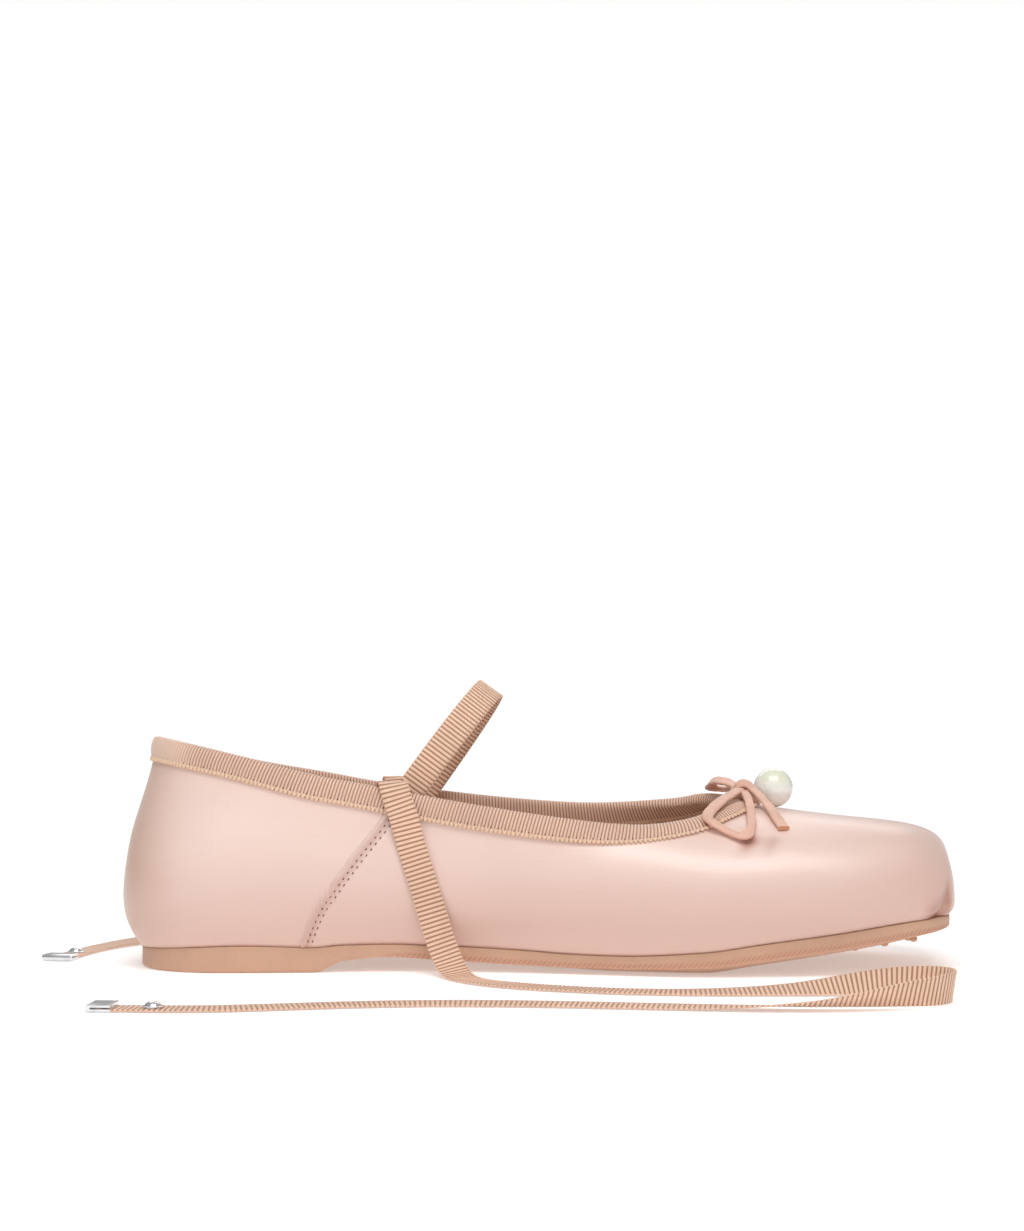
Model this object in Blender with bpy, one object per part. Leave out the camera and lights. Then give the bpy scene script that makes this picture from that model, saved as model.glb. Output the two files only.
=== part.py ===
"""Ballet flat for the right foot, standing on its sole: square soft toe, low moulded heel,
bound collar, arched instep strap, two ankle ties lying down, and a bow with a pearl.

The toe points along +X, the medial side is +Y and +Z is up. The origin is on the floor under
the middle of the shoe. Run with: blender --background --python part.py
"""

import math

import bmesh
import bpy
import numpy as np
from mathutils import Vector

MM = 0.001

# Materials' thicknesses and the fitting gap
GAP = 0.3 * MM
UPPER_WALL = 1.6 * MM
INSOLE_THICKNESS = 2.4 * MM
BINDING_THICKNESS = 0.8 * MM
BINDING_DEPTH = 6.0 * MM
UPPER_SETBACK = 0.6 * MM

# Outsole edge
SOLE_TOP_ROUND = 0.4 * MM
SOLE_BOTTOM_CHAMFER = 1.3 * MM
SOLE_CHAMFER_HEIGHT = 0.7 * MM
SOLE_CROWN_WIDTH = 12.0 * MM
SOLE_HEEL_TUCK = 0.9 * MM
SOLE_HEEL_TUCK_RUN = 22.0 * MM

# Ribbons
RIBBON_THICKNESS = 0.7 * MM
STRAP_WIDTH = 8.5 * MM
TIE_WIDTH = 8.4 * MM
TIE_POINT_SPACING = 8.0 * MM
TIE_FOLD_SPACING = 2.2 * MM
TIE_FOLD_LENGTH = 26.0 * MM
FLOOR_CLEARANCE = 0.3 * MM

# Instep strap: where its middle line leaves the collar on each side, and its top
STRAP_NEAR_BASE = (-39.2 * MM, -21.4 * MM, 50.4 * MM)
STRAP_FAR_BASE = (-35.7 * MM, 21.0 * MM, 50.4 * MM)
STRAP_TOP = (-14.8 * MM, -0.2 * MM, 81.9 * MM)
STRAP_TUCK = 6.0 * MM
STRAP_ARCH_POINTS = 25

# Metal tips and studs of the ties
TIP_LENGTH = 6.5 * MM
TIP_WIDTH = 9.0 * MM
TIP_THICKNESS = 1.7 * MM
TIP_BEVEL = 0.3 * MM
STUD_RADIUS = 2.7 * MM
STUD_HEIGHT = 1.3 * MM
STUD_FROM_END = 9.5 * MM
STUD_SIDES = 16

# Bow and pearl
LACE_WIDTH = 3.0 * MM
LACE_THICKNESS = 1.4 * MM
LACE_POINT_SPACING = 3.2 * MM
KNOT_CENTRE = (60.5 * MM, 0.0, 51.6 * MM)
KNOT_RADII = (3.5 * MM, 3.0 * MM, 2.9 * MM)
PEARL_RADIUS = 5.9 * MM
PEARL_CENTRE = (70.1 * MM, 2.0 * MM, 52.0 * MM)

# Sections of the shoe from toe to heel, in millimetres. Each row starts at the sole's edge (x, y)
# and runs up the wall to the collar. "steps" divides the way to the next row; the wall stands out
# by swell at swell_z; wall, crown and dip shape the curve from there to the collar's point.
COLUMNS = "steps x y swell swell_z wall crown dip collar_x collar_y collar_z".split()
TOE_ROW = (2, 121.7, 1.0, 1.5, 20.2, 0.95, 0.97, 0.27, 59.6, 0.5, 47.0)
LATERAL_ROWS = (
    (2, 119.9, -13.0, 1.4, 19.6, 0.92, 0.88, 0.23, 58.6, -5.6, 47.3),
    (3, 116.1, -24.8, 1.4, 20.2, 0.86, 0.77, 0.23, 56.4, -11.0, 47.0),
    (3, 103.4, -33.0, 1.5, 20.0, 0.74, 0.66, 0.23, 53.2, -15.8, 46.1),
    (3, 84.0, -37.6, 2.0, 19.0, 0.64, 0.62, 0.25, 48.6, -20.4, 44.9),
    (3, 62.0, -39.2, 2.3, 18.0, 0.57, 0.59, 0.27, 42.2, -24.6, 43.2),
    (3, 40.0, -38.4, 2.7, 17.5, 0.54, 0.58, 0.27, 31.0, -27.8, 41.8),
    (3, 18.0, -33.8, 3.4, 19.0, 0.50, 0.48, 0.28, 16.0, -29.2, 42.4),
    (3, -6.0, -28.6, 3.8, 22.0, 0.46, 0.34, 0.29, -7.0, -28.9, 45.4),
    (3, -30.0, -25.9, 4.3, 25.0, 0.44, 0.15, 0.30, -30.0, -27.6, 49.1),
    (1, -57.0, -26.6, 4.2, 25.5, 0.42, 0.12, 0.30, -56.5, -25.6, 54.0),
    (3, -65.0, -27.2, 3.9, 25.0, 0.40, 0.10, 0.30, -64.0, -25.0, 55.3),
    (3, -86.0, -28.4, 3.2, 23.5, 0.40, 0.10, 0.32, -85.5, -22.2, 60.6),
    (2, -105.4, -25.9, 3.8, 22.9, 0.39, 0.05, 0.34, -102.3, -17.2, 64.3),
    (2, -116.7, -15.8, 4.3, 22.9, 0.39, 0.12, 0.33, -110.4, -9.9, 65.8),
)
HEEL_ROW = (2, -119.0, 0.0, 4.8, 23.1, 0.41, 0.17, 0.31, -115.0, 0.0, 66.3)
MEDIAL_ROWS = (
    (2, 122.6, 14.6, 1.7, 20.4, 0.91, 0.94, 0.31, 58.8, 6.4, 47.3),
    (3, 118.8, 26.4, 1.2, 20.2, 0.84, 0.84, 0.33, 56.6, 12.0, 48.2),
    (3, 105.6, 34.0, 1.5, 20.0, 0.73, 0.69, 0.28, 53.4, 17.0, 48.6),
    (3, 85.0, 37.6, 2.0, 19.5, 0.66, 0.56, 0.24, 49.0, 21.4, 48.4),
    (3, 63.0, 38.8, 2.3, 19.0, 0.60, 0.45, 0.25, 43.0, 25.4, 47.1),
    (3, 43.0, 37.2, 2.9, 19.0, 0.56, 0.34, 0.28, 32.0, 28.4, 46.1),
    (3, 20.0, 30.4, 4.6, 22.0, 0.50, 0.22, 0.30, 16.5, 29.6, 45.4),
    (3, -6.0, 22.6, 6.6, 26.0, 0.46, 0.15, 0.30, -7.0, 28.4, 46.7),
    (3, -30.0, 19.6, 7.8, 29.0, 0.44, 0.10, 0.30, -30.0, 26.8, 49.2),
    (1, -57.0, 22.6, 6.0, 28.0, 0.42, 0.10, 0.30, -56.5, 25.0, 53.2),
    (3, -65.0, 24.0, 5.3, 27.0, 0.40, 0.10, 0.30, -64.0, 24.2, 54.7),
    (3, -86.0, 27.0, 3.6, 24.5, 0.40, 0.10, 0.32, -85.5, 21.8, 58.5),
    (2, -105.4, 25.5, 3.9, 23.1, 0.39, 0.05, 0.34, -102.3, 17.0, 62.4),
    (2, -116.7, 15.7, 4.3, 22.9, 0.39, 0.12, 0.33, -110.4, 9.8, 64.5),
)

# Heights of the sole along its length: its underside at the middle and at the edge, flat at the
# heel and, in the middle, under the ball; and its upper face, where the upper and insole sit.
SOLE_ROWS = (
    # x, middle, edge, seat
    (-119.0, 0.0, 0.0, 6.1),
    (-104.0, 0.0, 0.0, 7.0),
    (-86.0, 0.0, 0.0, 7.7),
    (-65.0, 0.0, 0.0, 7.2),
    (-57.0, 3.2, 3.2, 7.8),
    (-45.0, 3.7, 4.2, 8.0),
    (-30.0, 3.3, 3.4, 7.6),
    (-6.0, 1.6, 2.2, 6.6),
    (8.0, 0.5, 1.9, 5.8),
    (20.0, 0.0, 1.9, 5.6),
    (46.0, 0.0, 2.6, 7.0),
    (62.0, 2.2, 4.6, 9.3),
    (84.0, 5.4, 7.5, 12.2),
    (104.0, 8.4, 10.3, 14.9),
    (116.0, 10.5, 11.9, 16.0),
    (122.6, 11.6, 12.6, 15.7),
)
UNDER_MIDDLE, UNDER_EDGE, SEAT = 1, 2, 3

# Routes of the ankle ties, in millimetres. Each tie rises inside the collar, turns over it and
# comes down the wall with its face turned by (nx, ny, nz), then lies on the floor, where it
# leans by so many degrees towards its right-hand side so as to bend without creasing.
NEAR_TIE_DROP = (
    # x, y, z, nx, ny, nz
    (-43.9, -23.7, 43.0, 0.1, 1.0, 0.1),
    (-43.9, -23.2, 47.5, 0.12, 1.0, 0.1),
    (-43.9, -22.9, 50.8, 0.12, 1.0, 0.1),
    (-43.6, -23.9, 53.4, 0.07, 0.7, 0.7),
    (-42.9, -26.2, 54.7, 0.0, 0.0, 1.0),
    (-42.2, -28.5, 53.3, -0.05, -0.8, 0.6),
    (-41.3, -29.5, 50.2, -0.05, -1.0, 0.2),
    (-39.8, -30.1, 46.0, 0.0, -1.0, 0.1),
    (-37.6, -30.4, 38.0, 0.0, -1.0, 0.0),
    (-34.8, -31.1, 29.0, 0.0, -1.0, 0.0),
    (-32.0, -31.3, 20.0, 0.0, -1.0, 0.0),
    (-29.5, -32.0, 12.0, 0.0, -1.0, 0.1),
    (-27.0, -34.5, 5.5, 0.0, -0.8, 0.6),
    (-24.2, -39.5, 1.6, 0.0, -0.3, 0.95),
)
NEAR_TIE_FLOOR = (
    # x, y, lean
    (-20.0, -47.0, 0.0),
    (-11.0, -56.0, 0.0),
    (5.0, -64.5, 0.0),
    (26.0, -70.5, 0.0),
    (50.0, -72.5, 4.0),
    (74.0, -72.5, 22.0),
    (95.0, -75.0, 60.0),
    (105.0, -83.0, 80.0),
    (103.0, -93.0, 80.0),
    (92.0, -99.5, 60.0),
    (74.0, -102.0, 25.0),
    (50.0, -100.5, 5.0),
    (22.0, -96.5, 0.0),
    (-8.0, -92.5, 0.0),
    (-36.0, -92.5, 0.0),
    (-62.0, -97.0, 0.0),
    (-86.0, -101.5, 0.0),
    (-108.0, -101.0, 0.0),
)
FAR_TIE_DROP = (
    # x, y, z, nx, ny, nz
    (-43.9, 22.7, 43.0, 0.05, -1.0, 0.1),
    (-43.9, 22.3, 47.5, 0.05, -1.0, 0.1),
    (-43.9, 21.9, 50.6, 0.05, -1.0, 0.1),
    (-43.9, 22.9, 53.2, 0.0, -0.7, 0.7),
    (-44.4, 25.1, 54.5, 0.0, 0.0, 1.0),
    (-45.0, 27.3, 53.1, 0.0, 0.8, 0.6),
    (-45.6, 28.6, 49.8, 0.0, 1.0, 0.2),
    (-46.6, 29.2, 44.0, 0.0, 1.0, 0.1),
    (-48.0, 29.2, 35.0, 0.0, 1.0, 0.0),
    (-49.5, 29.6, 26.0, 0.0, 1.0, 0.0),
    (-51.0, 29.8, 17.0, 0.0, 1.0, 0.0),
    (-52.6, 31.0, 9.5, 0.0, 1.0, 0.1),
    (-54.4, 34.6, 4.0, 0.0, 0.75, 0.65),
    (-56.0, 40.5, 1.2, 0.0, 0.2, 0.98),
)
FAR_TIE_FLOOR = (
    # x, y, lean
    (-55.5, 49.5, 6.0),
    (-45.0, 60.0, 45.0),
    (-26.0, 64.5, 20.0),
    (0.0, 64.5, 0.0),
    (26.0, 62.5, 0.0),
    (46.0, 62.5, -18.0),
    (62.0, 67.0, -60.0),
    (68.0, 77.0, -80.0),
    (61.0, 87.0, -60.0),
    (44.0, 91.0, -20.0),
    (18.0, 90.0, 0.0),
    (-12.0, 88.0, 0.0),
    (-44.0, 86.0, 0.0),
    (-76.0, 80.0, -4.0),
    (-104.0, 68.0, -8.0),
    (-126.0, 50.0, -6.0),
    (-139.0, 28.0, 0.0),
    (-144.0, 6.0, 0.0),
)

# Routes of the bow's lace, in millimetres, each with the way that its flat face looks.
BOW_ROUTES = {
    # x, y, z, nx, ny, nz
    "bow_loop_near": (
        (59.5, -3.4, 51.7, 0.0, -0.2, 1.0),
        (56.2, -9.0, 50.4, -0.1, -0.3, 1.0),
        (53.0, -15.0, 49.1, -0.1, -0.3, 1.0),
        (49.9, -21.0, 47.1, 0.0, -0.4, 1.0),
        (48.0, -25.0, 45.4, 0.0, -0.5, 1.0),
        (47.8, -27.4, 44.2, 0.0, -0.5, 1.0),
        (49.4, -28.9, 43.0, 0.0, -0.5, 1.0),
        (51.8, -29.7, 41.6, 0.0, -0.6, 1.0),
        (54.3, -31.1, 40.3, 0.0, -0.6, 1.0),
        (56.5, -31.8, 39.7, 0.0, -0.6, 1.0),
        (58.2, -31.6, 39.9, 0.0, -0.6, 1.0),
        (59.4, -29.9, 41.0, 0.0, -0.5, 1.0),
        (60.2, -27.0, 42.5, 0.0, -0.5, 1.0),
        (60.8, -20.7, 45.4, 0.1, -0.4, 1.0),
        (61.0, -14.2, 48.4, 0.1, -0.3, 1.0),
        (60.8, -7.0, 50.5, 0.1, -0.2, 1.0),
        (60.7, -3.5, 51.2, 0.1, -0.2, 1.0),
    ),
    "bow_loop_far": (
        (59.4, 3.3, 52.0, 0.0, 0.0, 1.0),
        (57.2, 8.0, 53.3, -0.2, -0.3, 1.0),
        (55.0, 12.0, 53.8, -0.3, -0.4, 0.9),
        (53.3, 16.0, 53.4, -0.5, -0.4, 0.8),
        (52.8, 19.4, 52.2, -0.6, -0.1, 0.8),
        (54.4, 21.5, 51.2, -0.2, 0.4, 0.9),
        (57.0, 20.8, 50.9, 0.1, 0.4, 1.0),
        (58.6, 17.2, 51.1, 0.1, 0.3, 1.0),
        (59.6, 12.4, 51.4, 0.1, 0.2, 1.0),
        (60.0, 8.0, 51.5, 0.1, 0.1, 1.0),
        (60.6, 4.1, 51.3, 0.1, 0.1, 1.0),
    ),
    "bow_tail_near": (
        (63.2, -3.3, 51.9, 0.2, -0.3, 1.0),
        (64.4, -6.5, 50.7, 0.2, -0.4, 1.0),
        (65.6, -11.0, 48.8, 0.2, -0.4, 1.0),
        (66.9, -16.0, 46.9, 0.1, -0.4, 1.0),
        (68.1, -22.2, 44.3, 0.1, -0.4, 1.0),
        (69.4, -28.1, 41.6, 0.1, -0.5, 1.0),
    ),
    "bow_tail_far": (
        (63.3, 4.6, 50.0, 0.1, 0.1, 1.0),
        (64.5, 8.0, 49.8, 0.1, 0.2, 1.0),
        (65.4, 11.0, 49.6, 0.1, 0.2, 1.0),
        (66.0, 14.4, 49.1, 0.1, 0.2, 1.0),
        (66.6, 18.0, 48.3, 0.1, 0.3, 1.0),
        (67.2, 22.5, 47.0, 0.1, 0.4, 1.0),
        (67.6, 26.0, 45.6, 0.1, 0.5, 1.0),
    ),
}

WALL_SPANS_BELOW_SWELL = 3
WALL_SPANS_ABOVE_SWELL = 9
SOLE_SPANS_ACROSS = 4

COLOURS = {
    "satin": ((0.83, 0.66, 0.60), 0.45, 0.0),
    "lining": ((0.80, 0.62, 0.54), 0.70, 0.0),
    "grosgrain": ((0.77, 0.55, 0.42), 0.75, 0.0),
    "moulded_sole": ((0.60, 0.38, 0.27), 0.50, 0.0),
    "lace": ((0.72, 0.48, 0.39), 0.55, 0.0),
    "pearl": ((0.80, 0.82, 0.70), 0.15, 0.0),
    "polished_metal": ((0.80, 0.80, 0.80), 0.15, 1.0),
}


def clear_scene():
    for old in list(bpy.data.objects):
        bpy.data.objects.remove(old, do_unlink=True)


def material(name):
    """The named finish as a Principled BSDF, made once and shared."""
    if name in bpy.data.materials:
        return bpy.data.materials[name]
    colour, roughness, metallic = COLOURS[name]
    made = bpy.data.materials.new(name)
    made.use_nodes = True
    shader = made.node_tree.nodes["Principled BSDF"]
    shader.inputs["Base Color"].default_value = (*colour, 1.0)
    shader.inputs["Roughness"].default_value = roughness
    shader.inputs["Metallic"].default_value = metallic
    made.diffuse_color = (*colour, 1.0)
    return made


def add_object(name, points, faces, finish, smooth_angle=40.0):
    """A mesh object with outward faces, shaded smooth except at its real edges."""
    mesh = bpy.data.meshes.new(name)
    mesh.from_pydata([tuple(point) for point in points], [], [tuple(face) for face in faces])
    mesh.validate()
    mesh.materials.append(material(finish))
    obj = bpy.data.objects.new(name, mesh)
    bpy.context.scene.collection.objects.link(obj)
    if signed_volume(mesh) < 0:
        mesh.flip_normals()
    mesh.shade_smooth()
    mesh.set_sharp_from_angle(angle=math.radians(smooth_angle))
    return obj


def signed_volume(mesh):
    mesh.calc_loop_triangles()
    total = 0.0
    for triangle in mesh.loop_triangles:
        a, b, c = (mesh.vertices[index].co for index in triangle.vertices)
        total += a.dot(b.cross(c))
    return total / 6


def closed_spline(knots, values, length):
    """A smooth closed curve through the rows of values, as a function of the distance along it."""
    count = len(values)
    spans = np.diff(np.append(knots, length))
    slopes = (np.roll(values, -1, axis=0) - values) / spans[:, None]
    system = np.zeros((count, count))
    for row in range(count):
        before, after = (row - 1) % count, (row + 1) % count
        system[row, before] = spans[before]
        system[row, row] = 2 * (spans[before] + spans[row])
        system[row, after] = spans[row]
    bends = np.linalg.solve(system, 6 * (slopes - np.roll(slopes, 1, axis=0)))

    def curve(distance):
        span = np.clip(np.searchsorted(knots, distance, side="right") - 1, 0, count - 1)
        following = (span + 1) % count
        width = spans[span][:, None]
        ahead = (distance - knots[span])[:, None] / width
        behind = 1 - ahead
        cubic = (behind**3 - behind) * bends[span] + (ahead**3 - ahead) * bends[following]
        return behind * values[span] + ahead * values[following] + cubic * width**2 / 6

    return curve


def sections():
    """Every column of the section tables at each station, once around the shoe from the toe."""
    rows = [TOE_ROW, *LATERAL_ROWS, HEEL_ROW, *reversed(MEDIAL_ROWS)]
    table = np.array(rows, dtype=float)
    # The medial rows are met from heel to toe, so each takes the steps of the row ahead of it.
    medial_steps = [row[0] for row in reversed(MEDIAL_ROWS)][1:] + [TOE_ROW[0]]
    steps = [TOE_ROW[0], *[row[0] for row in LATERAL_ROWS], MEDIAL_ROWS[-1][0], *medial_steps]
    edges = table[:, 1:3]
    lengths = np.linalg.norm(np.roll(edges, -1, axis=0) - edges, axis=1)
    knots = np.concatenate([[0.0], np.cumsum(lengths)[:-1]])
    curve = closed_spline(knots, table, lengths.sum())
    stations = np.concatenate(
        [knot + length * np.arange(count) / count for knot, length, count in zip(knots, lengths, steps)]
    )
    found = dict(zip(COLUMNS, curve(stations).T))
    ahead = curve(np.mod(stations + 0.05, lengths.sum()))[:, 1:3]
    along = ahead - np.stack([found["x"], found["y"]], axis=1)
    along /= np.linalg.norm(along, axis=1)[:, None]
    scales = {"swell", "swell_z", "x", "y", "collar_x", "collar_y", "collar_z"}
    for name in scales:
        found[name] = found[name] * MM
    found["out"] = np.stack([-along[:, 1], along[:, 0]], axis=1)
    return found


def bezier(corners, shares):
    """Points of cubic curves, one for each station; corners are four (n, 3) arrays."""
    start, first, second, end = corners
    points = []
    for share in shares:
        rest = 1 - share
        point = rest**3 * start + 3 * rest**2 * share * first
        points.append(point + 3 * rest * share**2 * second + share**3 * end)
    return points


def raised(plan, height):
    return np.column_stack([plan, height])


def edge_plan(table, inset):
    """The sole's outline moved inwards by inset."""
    return np.stack([table["x"], table["y"]], axis=1) - table["out"] * inset


def upper_rings(table, below=WALL_SPANS_BELOW_SWELL, above=WALL_SPANS_ABOVE_SWELL):
    """Rings of the upper's outer face, from the sole up to the collar."""
    sole_edge = edge_plan(table, UPPER_SETBACK)
    foot = raised(sole_edge, sole_height(sole_edge[:, 0], SEAT) + GAP)
    widest = raised(edge_plan(table, -table["swell"][:, None]), table["swell_z"])
    collar = np.stack([table["collar_x"], table["collar_y"], table["collar_z"]], axis=1)
    rise = (table["swell_z"] - foot[:, 2])[:, None]
    out = raised(table["out"], 0 * table["x"])
    up = np.array([0.0, 0.0, 1.0])
    flare = (table["swell"] + UPPER_SETBACK)[:, None]
    lower = bezier(
        (foot, foot + 0.62 * flare * out + 0.22 * rise * up, widest - 0.45 * rise * up, widest),
        np.linspace(0, 1, below + 1),
    )
    climb = (table["collar_z"] - table["swell_z"])[:, None]
    spread = widest - collar
    spread[:, 2] = 0
    shoulder = widest + table["wall"][:, None] * climb * up
    lip = collar + table["crown"][:, None] * spread - table["dip"][:, None] * climb * up
    upper = bezier((widest, shoulder, lip, collar), np.linspace(0, 1, above + 1))
    return np.array(lower + upper[1:])


def ring_normals(rings):
    """Outward normals of a stack of closed rings."""
    around = np.roll(rings, -1, axis=1) - np.roll(rings, 1, axis=1)
    upwards = np.gradient(rings, axis=0)
    normals = np.cross(upwards, around)
    return normals / np.linalg.norm(normals, axis=2)[:, :, None]


def skin(rings, wrap):
    """Quads between neighbouring closed rings, and from the last to the first with wrap."""
    count, size = len(rings), len(rings[0])
    faces = []
    for ring in range(count if wrap else count - 1):
        low, high = ring * size, (ring + 1) % count * size
        for index in range(size):
            after = (index + 1) % size
            faces.append((low + index, low + after, high + after, high + index))
    return faces


def build_upper(table):
    outer = upper_rings(table)
    inner = outer - UPPER_WALL * ring_normals(outer)
    inner[0, :, 2] = outer[0, :, 2]
    shell = np.concatenate([outer, inner[::-1]])
    return add_object("upper", shell.reshape(-1, 3), skin(shell, True), "satin")


def binding_profile(outer, normals):
    """Rings of the folded binding: down the outside, under, up the inside and over the collar."""
    fine = outer[::-1]
    facing = normals[::-1]
    lengths = np.linalg.norm(np.diff(fine, axis=0), axis=2)
    depth = np.concatenate([np.zeros((1, fine.shape[1])), np.cumsum(lengths, axis=0)])
    along = np.roll(fine[0], -1, axis=0) - np.roll(fine[0], 1, axis=0)
    along /= np.linalg.norm(along, axis=1)[:, None]
    down = fine[1] - fine[0]
    down /= np.linalg.norm(down, axis=1)[:, None]
    slant = np.linalg.norm(np.cross(along, down), axis=1)

    def at(distance, offset):
        ring = np.empty_like(fine[0])
        for index in range(fine.shape[1]):
            reach = distance / slant[index]
            for axis in range(3):
                place = np.interp(reach, depth[:, index], fine[:, index, axis])
                normal = np.interp(reach, depth[:, index], facing[:, index, axis])
                ring[index, axis] = place + offset * normal
            if distance < 0:
                ring[index] += down[index] * reach
        return ring

    near, far = GAP, GAP + BINDING_THICKNESS
    outside = [at(BINDING_DEPTH * share, far) for share in (0.0, 0.5, 1.0)]
    hem = [at(BINDING_DEPTH * share, near) for share in (1.0, 0.5, 0.0)]
    inside_near = -UPPER_WALL - near
    inside_far = -UPPER_WALL - far
    fold_under = [at(-near, 0.0), at(-near, -UPPER_WALL)]
    lining_hem = [at(BINDING_DEPTH * share, inside_near) for share in (0.0, 0.5, 1.0)]
    lining = [at(BINDING_DEPTH * share, inside_far) for share in (1.0, 0.5, 0.0)]
    fold_over = [at(-far, -UPPER_WALL), at(-far, 0.0)]
    return np.array(outside[1:] + hem + fold_under + lining_hem + lining + fold_over + outside[:1])


def build_collar_binding(table):
    outer = upper_rings(table, above=40)
    rings = binding_profile(outer, ring_normals(outer))
    return add_object("collar_binding", rings.reshape(-1, 3), skin(rings, True), "grosgrain")


def facing_pairs(size):
    """Index pairs of a closed ring that face each other across the shoe, toe and heel left out."""
    half = size // 2
    return [(index, size - index) for index in range(1, half)]


def cap(ring_start, size, points, height, spans):
    """Closes a ring with strips across the shoe, whose inner points take their height from x."""
    half = size // 2
    rows = [[ring_start]]
    for left, right in facing_pairs(size):
        start, end = points[ring_start + left], points[ring_start + right]
        row = [ring_start + left]
        for share in np.linspace(0, 1, spans + 1)[1:-1]:
            point = start + (end - start) * share
            point[2] = height(point[0])
            row.append(len(points))
            points.append(point)
        rows.append(row + [ring_start + right])
    rows.append([ring_start + half])
    faces = []
    for front, back in zip(rows, rows[1:]):
        for index in range(max(len(front), len(back)) - 1):
            quad = [
                front[min(index, len(front) - 1)],
                front[min(index + 1, len(front) - 1)],
                back[min(index + 1, len(back) - 1)],
                back[min(index, len(back) - 1)],
            ]
            faces.append(list(dict.fromkeys(quad)))
    return faces


def slab(name, rings, bottom_height, top_height, finish):
    """A solid with closed rings for its side, capped below its first and above its last."""
    size = len(rings[0])
    points = [np.array(point) for ring in rings for point in ring]
    faces = skin(rings, False)
    faces += cap(0, size, points, bottom_height, SOLE_SPANS_ACROSS)
    upside = cap((len(rings) - 1) * size, size, points, top_height, SOLE_SPANS_ACROSS)
    faces += [list(reversed(face)) for face in upside]
    return add_object(name, points, faces, finish)


def steady_curve(knots, heights, x):
    """Heights read between knots on a smooth curve that never overshoots them."""
    slopes = np.diff(heights) / np.diff(knots)
    bends = np.zeros(len(knots))
    level = slopes[:-1] * slopes[1:] > 0
    bends[1:-1][level] = 2 / (1 / slopes[:-1][level] + 1 / slopes[1:][level])
    bends[0], bends[-1] = slopes[0], slopes[-1]
    x = np.clip(x, knots[0], knots[-1])
    span = np.clip(np.searchsorted(knots, x, side="right") - 1, 0, len(knots) - 2)
    width = knots[span + 1] - knots[span]
    share = (x - knots[span]) / width
    rest = 1 - share
    ends = rest**2 * (1 + 2 * share) * heights[span] + share**2 * (3 - 2 * share) * heights[span + 1]
    return ends + width * share * rest * (rest * bends[span] - share * bends[span + 1])


def sole_height(x, column):
    rows = np.array(SOLE_ROWS) * MM
    return steady_curve(rows[:, 0], rows[:, column], x)


def outsole_plan(table, inset):
    """The sole's outline moved inwards by inset, and tucked further in behind the heel."""
    x = table["x"]
    share = np.clip((x - x.min()) / SOLE_HEEL_TUCK_RUN, 0, 1)
    tuck = SOLE_HEEL_TUCK * (1 - share**2 * (3 - 2 * share))
    return edge_plan(table, inset + tuck[:, None])


def build_outsole(table):
    plan = outsole_plan(table, 0.0)
    shoulder = outsole_plan(table, SOLE_TOP_ROUND)
    inner = outsole_plan(table, SOLE_CROWN_WIDTH)
    base, seat = sole_height(plan[:, 0], UNDER_EDGE), sole_height(plan[:, 0], SEAT)
    rings = [
        raised(inner, sole_height(inner[:, 0], UNDER_MIDDLE)),
        raised(outsole_plan(table, SOLE_BOTTOM_CHAMFER), base),
        raised(plan, base + SOLE_CHAMFER_HEIGHT),
        raised(plan, seat - SOLE_TOP_ROUND),
        raised(shoulder, sole_height(shoulder[:, 0], SEAT)),
    ]
    return slab(
        "outsole",
        rings,
        lambda x: sole_height(x, UNDER_MIDDLE),
        lambda x: sole_height(x, SEAT),
        "moulded_sole",
    )


def build_insole(table):
    inset = UPPER_SETBACK + UPPER_WALL + GAP + 0.2 * MM
    side, shoulder = edge_plan(table, inset), edge_plan(table, inset + 0.9 * MM)
    low = sole_height(side[:, 0], SEAT) + GAP
    rings = [
        raised(side, low),
        raised(side, low + INSOLE_THICKNESS - 0.8 * MM),
        raised(shoulder, sole_height(shoulder[:, 0], SEAT) + GAP + INSOLE_THICKNESS),
    ]
    return slab(
        "insole",
        rings,
        lambda x: sole_height(x, SEAT) + GAP,
        lambda x: sole_height(x, SEAT) + GAP + INSOLE_THICKNESS,
        "lining",
    )


def open_spline(rows, spacing, fine_spacing=0.0, fine_length=0.0):
    """Points of a smooth curve through the rows, closer together along its first stretch."""
    values = np.array(rows, dtype=float)
    lengths = np.linalg.norm(np.diff(values[:, :3], axis=0), axis=1)
    knots = np.concatenate([[0.0], np.cumsum(lengths)])
    slopes = np.diff(values, axis=0) / lengths[:, None]
    inner = len(values) - 2
    system = np.diag(2 * (lengths[:-1] + lengths[1:]))
    system += np.diag(lengths[1:-1], 1) + np.diag(lengths[1:-1], -1)
    bends = np.zeros_like(values)
    bends[1:-1] = np.linalg.solve(system, 6 * np.diff(slopes, axis=0)[:inner])
    count = max(2, round((knots[-1] - fine_length) / spacing)) + 1
    distance = np.linspace(fine_length, knots[-1], count)
    if fine_length:
        fine_count = round(fine_length / fine_spacing)
        distance = np.concatenate([np.linspace(0, fine_length, fine_count, endpoint=False), distance])
    span = np.clip(np.searchsorted(knots, distance, side="right") - 1, 0, len(lengths) - 1)
    width = lengths[span][:, None]
    ahead = (distance - knots[span])[:, None] / width
    behind = 1 - ahead
    cubic = (behind**3 - behind) * bends[span] + (ahead**3 - ahead) * bends[span + 1]
    return behind * values[span] + ahead * values[span + 1] + cubic * width**2 / 6


def unit(vectors):
    return vectors / np.linalg.norm(vectors, axis=-1, keepdims=True)


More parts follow.
